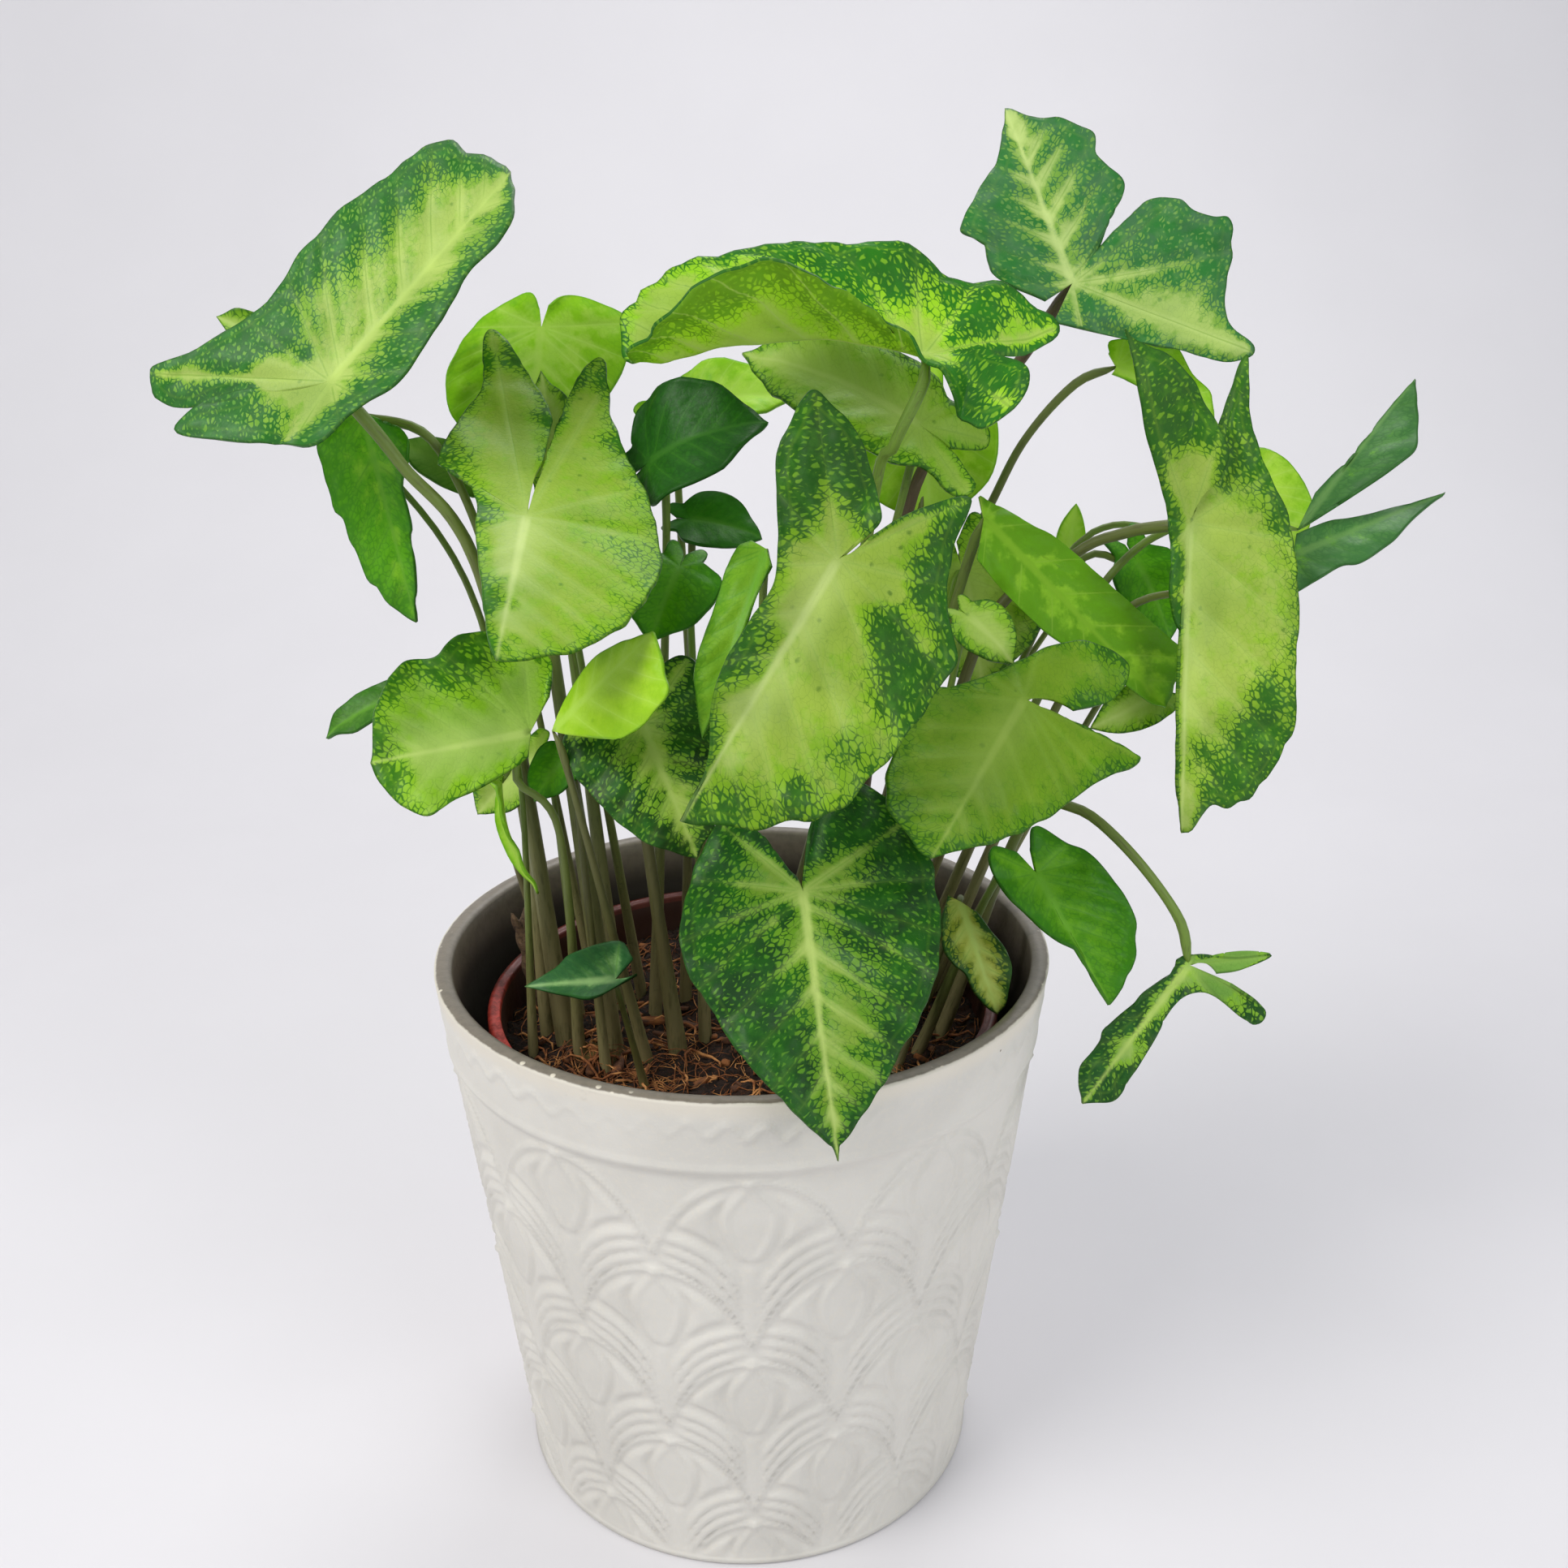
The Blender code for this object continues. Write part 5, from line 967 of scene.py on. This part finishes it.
# How each kind of leaf is coloured. pale is how pale it is at the ribs and fall how much it loses
# towards the margin; fingers is what the side veins add, net how strong the dark net is and drift
# how uneven it all is. cells is the number of net cells in a millimetre, and show is how much of
# the pattern shows on the lower face.
# deepAndSheen is a deeper green for the dark parts; where a leaf gives it a greyish green, it is a
# painted sheen.
tones = {
    "mottled": dict(
        pale=1.05, fall=1.6, fingers=0.25, net=1.0, drift=1.3, feather=1.1, cells=0.9, rim=0.15,
        band=0.36, show=0.3, heart=(164, 198, 82), cell=(128, 178, 48), speck=(54, 114, 42),
        dark=(34, 94, 16), deepAndSheen=(27, 68, 20), under=(96, 152, 52), vein=(184, 212, 118),
        line=(112, 154, 54), edge=(46, 88, 34),
    ),
    "pale": dict(
        pale=1.15, fall=0.75, fingers=0.2, net=0.9, drift=0.8, feather=0.5, cells=0.78, rim=0.25,
        band=0.13, show=0.3, heart=(154, 192, 74), cell=(132, 184, 38), speck=(80, 142, 28),
        dark=(42, 106, 14), deepAndSheen=(32, 82, 18), under=(122, 174, 62), vein=(188, 214, 128),
        line=(116, 162, 54), edge=(34, 82, 24),
    ),
    "plain": dict(
        pale=0.35, fall=0.4, fingers=0.15, net=0.4, drift=1.1, feather=0.6, cells=0.8, rim=0.2,
        band=0.3, show=0.3, heart=(114, 184, 26), cell=(88, 162, 14), speck=(52, 126, 12),
        dark=(42, 116, 8), deepAndSheen=(28, 88, 12), under=(86, 146, 30), vein=(104, 166, 50),
        line=(62, 126, 28), edge=(32, 82, 22),
    ),
    "bright": dict(
        pale=0.95, fall=0.5, fingers=0.35, net=0.12, drift=0.9, feather=0.5, cells=0.8, rim=0.0,
        band=0.25, show=0.3, heart=(172, 222, 66), cell=(142, 204, 30), speck=(106, 180, 18),
        dark=(94, 170, 16), deepAndSheen=(56, 136, 18), under=(132, 192, 50), vein=(180, 220, 100),
        line=(186, 226, 108), edge=(94, 158, 34),
    ),
}
stemLook = {
    "foot": (132, 124, 84), "green": (104, 128, 44), "bright": (112, 150, 40),
    "streak": (72, 72, 36), "brown": (88, 66, 50),
}


def pair(value):
    return value if isinstance(value, tuple) else (value, value)


def plainSide(width, lobeLength, lobeAngle, lobeWidth, waist):
    # one side of a plain arrowhead, from the tip to the sinus, as shares of its length
    turn = radians(lobeAngle)
    down = np.array([sin(turn), cos(turn)])
    out = np.array([-down[1], down[0]])
    half = width / 2
    side = [(0.0, 1.0), (0.3 * half, 0.88), (0.78 * half, 0.65), (half, 0.3), (0.93 * half, 0.05)]
    side.append((waist * sin(radians(112)), waist * cos(radians(112))))
    for along, across in ((0.6, 1.0), (0.95, 0.45), (0.95, -0.4), (0.42, -0.85)):
        x, y = down * along * lobeLength + out * across * lobeWidth
        side.append((max(x, 0.012), y))
    return side


def facesEye(leaf):
    return "minusSide" in leaf and not leaf["folded"]


def leafMargin(leaf, side, length):
    name = ("minusSide", "plusSide")[side]
    if name in leaf:
        return np.vstack([(0, length), leaf[name]]) / length
    labels = ("width", "lobeLength", "lobeAngle", "lobeWidth", "waist")
    return plainSide(*(pair(leaf[label])[side] for label in labels))


def leafFan(leaf, length, steps, rows):
    # rays from the seat to the margin: radius, angle and share of the way out, row by row
    sides = []
    for side in (0, 1):
        line = smoothLine(leafMargin(leaf, side, length), steps)
        angle = np.unwrap(np.arctan2(line[:, 0], line[:, 1]))
        climb = np.arange(len(angle)) * 0.012 / steps
        sides.append((np.hypot(*line.T), np.maximum.accumulate(angle - climb) + climb))
    reach = np.r_[sides[0][0][::-1], sides[1][0][1:]]
    angle = np.r_[-sides[0][1][::-1], sides[1][1][1:]]
    high = radians(leaf["sinus"]) - 0.03
    low = high - 2 * pi + 0.06
    past = np.maximum(angle - high, 0) - np.maximum(low - angle, 0)
    share = np.linspace(0, 1, rows + 1)[:, None] ** 0.8
    turn = angle - past * (1 - share**1.5)
    return reach * share, turn, share + 0 * turn


def leafBend(leaf, radius, turn, share, raised):
    # folded at the midrib, arched, lobes lifted, margin waved; raised is added relief
    across = radius * np.sin(turn)
    along = radius * np.cos(turn)
    plus = turn > 0

    def bySide(value):
        low, high = pair(value)
        return np.where(plus, high, low)

    fold = bySide(leaf["fold"])
    lobeFold = fold if leaf["lobeFold"] is None else bySide(leaf["lobeFold"])
    fold = np.radians(lobeFold + (fold - lobeFold) * np.clip((along + 0.15) / 0.3, 0, 1))
    angle = np.abs(np.degrees(turn))
    height = (np.sqrt(across**2 + 0.03**2) - 0.03) * np.sin(fold)
    height = height + bySide(leaf["lift"]) * radius * np.clip((angle - 90) / 60, 0, 1)
    height = height + leaf["wave"] * share**2 * np.sin(leaf["ripples"] * turn)
    height = height + raised
    if facesEye(leaf):
        ahead = np.clip(along, 0, 1)
        height = height + leaf["arch"] * 4 * ahead * (1 - ahead)
        height = height - leaf["droop"] * np.minimum(along, 0) ** 2
        return np.stack([across, along, height], -1)
    bend = radians(leaf["bend"])
    rate = np.where(along > 0, bend, radians(leaf["tail"]))
    turned = rate * along
    forward = np.sin(turned) / rate + height * np.sin(turned)
    up = (np.cos(turned) - 1) / rate + height * np.cos(turned)
    end = np.array([sin(bend), cos(bend) - 1]) / bend
    chord = np.hypot(*end)
    level, drop = end / chord
    ahead = forward * level + up * drop
    height = up * level - forward * drop
    return np.stack([across * np.cos(fold), ahead, height], -1) / chord


def distanceTo(points, line):
    # each point's distance to a line of points, and the side of it that it is on
    start = line[:-1]
    step = line[1:] - start
    reach = points[:, None, :] - start
    along = np.clip((reach * step).sum(-1) / (step**2).sum(-1), 0, 1)
    gap = reach - along[..., None] * step
    distance = np.hypot(gap[..., 0], gap[..., 1])
    near = distance.argmin(1)
    each = np.arange(len(points))
    cross = step[near, 0] * reach[each, near, 1] - step[near, 1] * reach[each, near, 0]
    return distance[each, near], cross


def sideVein(start, angle, bend, length, mirror, steps=11):
    heading = np.radians(angle - bend * np.linspace(0, 1, steps + 1))
    step = length / steps * np.stack([np.sin(heading), np.cos(heading)], -1)
    line = np.vstack([(0, start), (0, start) + np.cumsum(step[:-1], 0)])
    return line * ((-1 if mirror else 1), 1)


veinShape = {  # degrees from the midrib, and shares of the blade's length or of the lobe's turn
    "angle": 56, "lessen": 3, "bend": 24, "starts": (0.02, 0.2, 0.36, 0.52, 0.67, 0.8, 0.91),
    "stagger": 0.03, "lobeFirst": 38, "lobeShares": (0.66, 0.36), "lobeBend": 16, "lobeMost": 168,
}


def leafFields(leaf, flat, margin, length):
    # in mm on the flat blade: a side-vein field that changes sign at each vein, how far out from
    # the ribs, the way to the margin, and the extra paleness of the patches
    edge = distanceTo(flat, margin)[0]
    onPlus = flat[:, 0] > 0
    ribs = np.abs(distanceTo(flat, np.array([(0, 0), (0, 0.97 * length)]))[0])
    veins = np.zeros(len(flat))
    reach = np.hypot(*margin.T)
    turn = np.degrees(np.arctan2(margin[:, 0], margin[:, 1]))
    reachOut = 2 * length
    for mirror in (0, 1):
        mine = onPlus != bool(mirror)
        back = (np.abs(turn) > 100) & ((margin[:, 0] > 0) != bool(mirror))
        if back.any():
            far = np.flatnonzero(back)[reach[back].argmax()]
            lobeTurn = min(abs(turn[far]), veinShape["lobeMost"])
            lobe = margin[far] * 0.93
        else:
            lobeTurn, lobe = 130.0, np.array([-0.1 if mirror else 0.1, -0.1]) * length
        ribs = np.minimum(ribs, distanceTo(flat, np.array([(0, 0), lobe]))[0])
        lines = [sideVein(0, lobeTurn, 0, reachOut, mirror)]
        first = veinShape["lobeFirst"]
        for share in veinShape["lobeShares"]:
            angle = first + (lobeTurn - first) * share
            lines.append(sideVein(0, angle, veinShape["lobeBend"], reachOut, mirror))
        for k, start in enumerate(veinShape["starts"]):
            start = (start + veinShape["stagger"] * mirror) * length
            angle = veinShape["angle"] - veinShape["lessen"] * k
            lines.append(sideVein(start, angle, veinShape["bend"], reachOut, mirror))
        nearest = np.full(len(flat), 1e3)
        sector = np.zeros(len(flat), int)
        for line in lines:
            distance, cross = distanceTo(flat, line)
            nearest = np.minimum(nearest, distance)
            sector += ((cross > 0) != bool(mirror)).astype(int)
        veins[mine] = (nearest * np.where(sector % 2, -1, 1))[mine]
    bias = np.zeros(len(flat))
    for across, along, size, amount in leaf["patches"]:
        away = np.hypot(flat[:, 0] - across, flat[:, 1] - along) / size
        bias += amount * np.exp(-(away**2))
    return veins, ribs / (ribs + edge + 0.01), edge, bias


def stemRoute(leaf):
    ground = np.array([*leaf["foot"], pottingMix["top"]], float)
    seat = np.array(leaf["seat"], float)
    bends = [np.array(point, float) for point in leaf["stem"]]
    first = bends[0] if bends else seat
    rise = (first - ground) / np.linalg.norm(first - ground)
    curve = smoothLine([ground - rise * 7, ground + rise * 4, *bends, seat], 8)
    return evenLine(curve, 2.5)


def leafFinish(name, look, under):
    made = startFinish(name)
    warmth = (1.1, 1.05, 0.9, 1.0)
    colours = {label: shade(*value) for label, value in look.items() if isinstance(value, tuple)}
    tone = {label: tuple(np.multiply(value, warmth)) for label, value in colours.items()}
    x, y, vein = split(attribute(made, "bladePlace"))
    ratio, edge, bias = split(attribute(made, "bladeField"))
    flat = join(x, y, look["seed"])
    out = abs(x)
    veinGap = abs(vein)
    # the net's cells are drawn out along the side veins
    run = out * 0.57 + y * 0.48
    over = out * 0.77 - y * 0.92
    sided = x.math("SIGN") * 30.0 + look["seed"]
    grid = warped(join(run, over, sided), 0.45, 1.4)
    gap = cells(grid, look["cells"])[0]
    chance = split(cells(grid, look["cells"], "F1")[1])[0]
    drift = cloud(flat, 0.14, 3.0, 0.6)[0]
    grain = cloud(flat, 1.1, 3.0, 0.65)[0]
    feather = cloud(join(run * 0.3, over, sided), 0.5, 2.0, 0.5)[0]
    # paleness: high along the ribs and side veins, low at the margin
    pale = ratio * -look["fall"] + look["pale"]
    pale = pale + ease(veinGap, 2.6, 0.0) * ease(ratio, 1.0, 0.35) * look["fingers"]
    for wander, share in ((drift, look["drift"]), (grain, 0.25), (feather, look["feather"])):
        pale = (wander - 0.5) * share + pale
    pale = pale + bias - ease(edge, 4.2, 0.3, 0.0, look["rim"])
    pale = pale.math("MAXIMUM", -0.28)
    level = (chance - 0.5) * 0.35 + pale
    # cells dim towards the dark parts while the lines between them widen
    rich = mix(ease(level, -0.85, 0.55), tone["speck"], tone["cell"])
    blot = cloud(flat, 0.3, 3.0, 0.6)[0]
    hearty = (blot - 0.5) * 1.8 + pale
    rich = mix(ease(hearty, 0.4, 1.05), rich, tone["heart"])
    # painted sheen in part: deepAndSheen is a deeper green, greyish on leaves such as top_left and
    # top_right to paint the sheen on their dark parts
    dark = mix(ease(drift, 0.35, 0.65), tone["dark"], tone["deepAndSheen"])
    dark = mix(ease(blot, 0.48, 0.7, 0.0, 0.45), dark, tone["speck"])
    line = ease(gap - ease(level, 0.85, -0.65, -0.02, 0.28), 0.09, -0.05)
    base = mix(line * ease(pale, 1.0, 0.5, 0.42, look["net"]), rich, dark)
    freckle = cells(flat, 0.34, "F1")
    chosen = ease(split(freckle[1])[0], 0.8, 0.84, 0.0, 0.55)
    freckle = ease(grain * 0.3 + freckle[0], 0.4, 0.22) * chosen
    base = mix(freckle, base, tone["dark"])
    # side veins: a soft pale band with a fine line in it; then a pale band beside the midrib,
    # partly painted sheen; then the midrib
    band = ease(veinGap, 1.4, 0.1) * ease(pale, 0.0, 0.8, 0.03, look["band"])
    base = mix(band, base, tone["vein"])
    fine = ease(ratio * 0.12 + veinGap, 0.34, 0.1) * ease(out, 0.8, 2.0)
    fineShare = fine * ease(pale, -0.1, 0.6, 0.12, look["band"] + 0.1)
    base = mix(fineShare, base, tone["line"])
    # glow: a pale band along the midrib, partly the blade's own pale heart and partly a painted
    # sheen
    glow = ease(out, 8.0, 0.5) * ease(pale, 0.5, 1.1, 0.0, 0.42)
    base = mix(glow * ease(y, -4.0, 6.0), base, tone["vein"])
    taper = ease(y, 0.0, look["length"], 0.9, 0.15)
    rib = ease(out - taper, 0.6, -0.5) * ease(y, -1.5, 2.5)
    base = mix(rib * 0.7, base, tone["vein"])
    # a faint line beside the margin, the margin itself and a broad dark tint
    base = mix(ease(abs(edge - 2.3), 0.5, 0.05, 0.0, 0.12), base, tone["cell"])
    base = mix(ease(edge, 0.45, 0.1, 0.0, 0.5), base, tone["edge"])
    tint = cloud(flat, 0.07, 2.0)[0]
    base = mix(ease(tint, 0.3, 0.75, 0.0, 0.28), base, tone["dark"])
    if under:
        # the lower face is duller and more even, with its veins raised
        dull = mix(ease(pale, -0.2, 1.0, 0.0, 0.7), tone["under"], tone["cell"])
        base = mix(look["show"], dull, base)
        base = mix(rib.math("MAXIMUM", fine * 0.55) * 0.7, base, tone["vein"])
    rough = ease(grain, 0.3, 0.7, *((0.5, 0.62) if under else (0.36, 0.5)))
    relief = grain * 0.5 + gap * 0.5 * ease(out, 0.3, 1.5)
    return endFinish(made, base, rough, relief, 0.15, 0.6, shine=0.17)


def stemFinish(look):
    made = startFinish("stemGreen")
    x, y, z = split(attribute(made, "bladePlace"))
    share, brown = split(attribute(made, "bladeField"))[:2]
    streak = cloud(join(x, y * 0.12, z), 1.3, 4.0, 0.6)[0]
    base = mix(ease(share, 0.1, 0.55), look["foot"], look["green"])
    base = mix(ease(share, 0.6, 1.0), base, look["bright"])
    base = mix(brown * ease(share, 0.1, 0.4), base, look["brown"])
    base = mix(ease(streak, 0.48, 0.72, 0.0, 0.6), base, look["streak"])
    return endFinish(made, base, 0.5, streak, 0.15)


def onFlat(radius, turn):
    return np.stack([radius * np.sin(turn), radius * np.cos(turn)], -1)


def roughness(spots, size, layer):
    return np.array([noise.noise(Vector((x / size, y / size, layer))) for x, y in spots])


def unit(vector):
    return vector / np.linalg.norm(vector)


def bladeRelief(leaf, flat, out, veins, edge, number):
    # in mm: the blade puffs a little between its veins, sinks along them and is lumpy
    puff = leaf["quilt"] * np.clip(np.abs(veins) / 3.5, 0, 1) ** 0.8 * smooth(edge, 0.0, 4.0)
    puff = puff * smooth(np.abs(flat[:, 0]), 0.0, 5.0)
    rib = leaf["groove"] * np.exp(-((flat[:, 0] / 2.4) ** 2)) * (flat[:, 1] > 0)
    lumps = leaf["lumps"] * roughness(flat, 13, number) * out
    lumps = lumps + leaf["ruffle"] * roughness(flat, 5, number + 50) * out**3
    return (puff - rib + lumps) * smooth(np.hypot(*flat.T), 1.0, 13.0)


def thicken(shape, normals, thickness, turned):
    # the sheet gets its thickness, half to each side, and its upper and lower finish
    for vert in shape.verts:
        vert[normals] = vert.normal
        vert.co -= vert[normals] * thickness / 2
    risen = bmesh.ops.extrude_face_region(shape, geom=shape.faces[:], use_keep_orig=True)["geom"]
    for item in risen:
        if isinstance(item, bmesh.types.BMVert):
            item.co += item[normals] * thickness
    bmesh.ops.recalc_face_normals(shape, faces=shape.faces)
    for polygon in shape.faces:
        side = polygon.normal.dot(sum((vert[normals] for vert in polygon.verts), Vector()))
        polygon.material_index = int((side < -0.5) != (turned and abs(side) > 0.5))


def addStem(shape, leaf, face, layers, brown):
    before = set(shape.faces)
    route = stemRoute(leaf)
    route[-1] -= 0.35 * face
    share = np.linspace(0, 1, len(route))
    seatRadius = round(leaf["seatShare"] * leaf["footRadius"], 1)
    radii = leaf["footRadius"] + (seatRadius - leaf["footRadius"]) * share
    # thinner in the middle, wider at the foot and below the blade, rounded off at its end
    radii = radii * (1 - leaf["thin"] * smooth(share, 0.1, 0.6))
    radii = radii * (1 + 0.12 * smooth(share, 0.25, 0.0)) * (1 + 0.15 * smooth(share, 0.85, 0.95))
    radii = radii * (1 - 0.7 * smooth((1 - share) * len(share), 1.6, 0.0))
    tubeOn(shape, route, radii, 12, layers, 0.06, brown)
    for polygon in shape.faces:
        if polygon not in before:
            polygon.material_index = 2


stemGreen = stemFinish(stemLook)
lowCorner, highCorner = (np.array(corner) / mm for corner in cadBox)


def makeLeaf(name, entry, number):
    leaf = {**leafShape, **entry}
    look = dict(tones[leaf["look"] or leaf["tone"]])
    look.update({label: entry[label] for label in look if label in entry})
    seat = np.array(leaf["seat"], float)
    along = np.array(leaf["tip"], float) - seat
    length = np.linalg.norm(along)
    look["length"], look["seed"] = float(length), 7.0 * number
    large = "minusSide" in leaf and length > 25
    steps, rows = (8, 36) if large else (5, 16)
    radius, turn, share = leafFan(leaf, length, steps, rows)
    # the margin wanders a little
    edgeSpots = onFlat(radius[-1], turn[-1]) * length
    radius = radius * (1 + leaf["sway"] * roughness(edgeSpots, 5, number + 90) * share**3)
    flat = onFlat(radius, turn).reshape(-1, 2) * length
    margin = flat[-turn.shape[1]:]
    veins, ratio, edge, bias = leafFields(leaf, flat, margin, length)
    raised = bladeRelief(leaf, flat, share.reshape(-1), veins, edge, number) / length
    bent = leafBend(leaf, radius, turn, share, raised.reshape(turn.shape))
    along /= length
    face = np.array(leaf["face"], float)
    face = unit(face - along * (face @ along))
    across = np.cross(along, face)
    if facesEye(leaf):
        face = unit(leaf["eye"] - seat)
    points = seat + bent * length @ np.stack([across, along, face])
    points = np.clip(points, lowCorner + 0.6, highCorner - 0.5).reshape(-1, 3)
    shape = bmesh.new()
    vectors = shape.verts.layers.float_vector
    layers = [vectors.new(label) for label in ("bladePlace", "bladeField", "up")]
    verts, column, row = gridPlaces(shape, turn.shape[1] - 1, rows)
    for vert, i in zip(verts, row * turn.shape[1] + column):
        vert.co = Vector(points[i] * mm)
        vert[layers[0]] = Vector((flat[i, 0], flat[i, 1], veins[i]))
        vert[layers[1]] = Vector((ratio[i], edge[i], bias[i]))
    bmesh.ops.remove_doubles(shape, verts=verts, dist=2e-6)
    shape.normal_update()
    middle = Vector(face)
    if sum(polygon.normal.dot(middle) * polygon.calc_area() for polygon in shape.faces) < 0:
        bmesh.ops.reverse_faces(shape, faces=shape.faces)
        shape.normal_update()
    thicken(shape, layers[2], leaf["thickness"] * mm, leaf["turned"])
    brown = (0.37 * number) % 0.7 if leaf["stemBrown"] is None else leaf["stemBrown"]
    addStem(shape, leaf, face, layers[:2], brown)
    vectors.remove(vectors["up"])
    label = "leaf" + name.title().replace("_", "")
    finishes = [leafFinish(label + "Upper", look, False), leafFinish(label + "Lower", look, True)]
    finishes.append(stemGreen)
    finishPiece(label, shape, finishes, "leaf_" + leaf["tone"], ["leaf_" + name])


for number, (name, entry) in enumerate(leaves.items()):
    makeLeaf(name, entry, number)
print("leaves made:", len(leaves))


# Floor, light and camera. A light: place and target in metres, width, power and tint.
studio = {
    "floor": (224, 222, 225), "sky": 0.5, "skyTint": (0.93, 0.96, 1.0, 1.0),
    "eye": (0.0, -335.0, 295.9), "pitch": 20.883, "yaw": 1.657, "roll": -0.345, "lens": 37.267,
    "windowLight": ((-0.7, -0.5, 1.0), (0.0, 0.0, 0.2), 0.7, 8.9, (1.0, 0.985, 0.96)),
    "fillLight": ((0.9, -0.9, 0.7), (0.0, 0.0, 0.15), 0.9, 5.3, (0.97, 0.985, 1.0)),
    "backLight": ((0.2, 0.6, 0.9), (0.0, 0.0, 0.25), 0.6, 3.0, (1.0, 1.0, 1.0)),
}


def studioFinish(name, tone):
    made = startFinish(name)
    soft = cloud(objectPlace(made), 0.01, 3.0)[0]
    darker = tuple(part - 6 for part in tone)
    return endFinish(made, mix(ease(soft, 0.3, 0.7, 0.0, 0.3), tone, darker), 0.8)


def makeSweep():
    # a floor that curves up into a wall behind the plant
    shape = bmesh.new()
    verts, column, row = gridPlaces(shape, 2, 40)
    for vert, across, up in zip(verts, column, row):
        run = up / 40
        if run < 0.5:
            y, z = -1.6 + 2.0 * run / 0.5, 0.0
        elif run < 0.75:
            turn = (run - 0.5) / 0.25 * pi / 2
            y, z = 0.4 + 0.5 * sin(turn), 0.5 * (1 - cos(turn))
        else:
            y, z = 0.9, 0.5 + 2.0 * (run - 0.75) / 0.25
        vert.co = Vector(((across - 1) * 2.2, y, z - 0.0003))
    return shape


sweepMesh = bpy.data.meshes.new("studioFloor")
sweepShape = makeSweep()
sweepShape.to_mesh(sweepMesh)
sweepShape.free()
sweepMesh.shade_smooth()
sweepMesh.materials.append(studioFinish("paleFloor", studio["floor"]))
studioFloor = bpy.data.objects.new("studioFloor", sweepMesh)
bpy.context.scene.collection.objects.link(studioFloor)


def areaLight(name, place, target, size, power, tint):
    light = bpy.data.lights.new(name, "AREA")
    light.shape = "DISK"
    light.size = size
    light.energy = power
    light.color = tint
    lamp = bpy.data.objects.new(name, light)
    lamp.location = place
    lamp.rotation_euler = (Vector(target) - Vector(place)).to_track_quat("-Z", "Y").to_euler()
    bpy.context.scene.collection.objects.link(lamp)


for name in ("windowLight", "fillLight", "backLight"):
    areaLight(name, *studio[name])

sky = bpy.data.worlds.new("softSky")
sky.use_nodes = True
glow = sky.node_tree.nodes["Background"]
feed(glow.inputs["Color"], studio["skyTint"])
feed(glow.inputs["Strength"], studio["sky"])
bpy.context.scene.world = sky
bpy.context.scene.view_settings.view_transform = "Standard"

lens = bpy.data.cameras.new("photoCamera")
lens.sensor_width = 36.0
lens.lens = studio["lens"]
lens.clip_start = 0.01
camera = bpy.data.objects.new("photoCamera", lens)
pitch, yaw, roll = (radians(studio[label]) for label in ("pitch", "yaw", "roll"))
ahead = Vector((sin(yaw) * cos(pitch), cos(yaw) * cos(pitch), -sin(pitch)))
level = Vector((cos(yaw), -sin(yaw), 0.0))
upright = level.cross(ahead)
sideways = level * cos(roll) + upright * sin(roll)
upwards = upright * cos(roll) - level * sin(roll)
camera.matrix_world = Matrix((sideways, upwards, -ahead)).transposed().to_4x4()
camera.location = Vector(studio["eye"]) * mm
bpy.context.scene.collection.objects.link(camera)
bpy.context.scene.camera = camera
print("studio set")
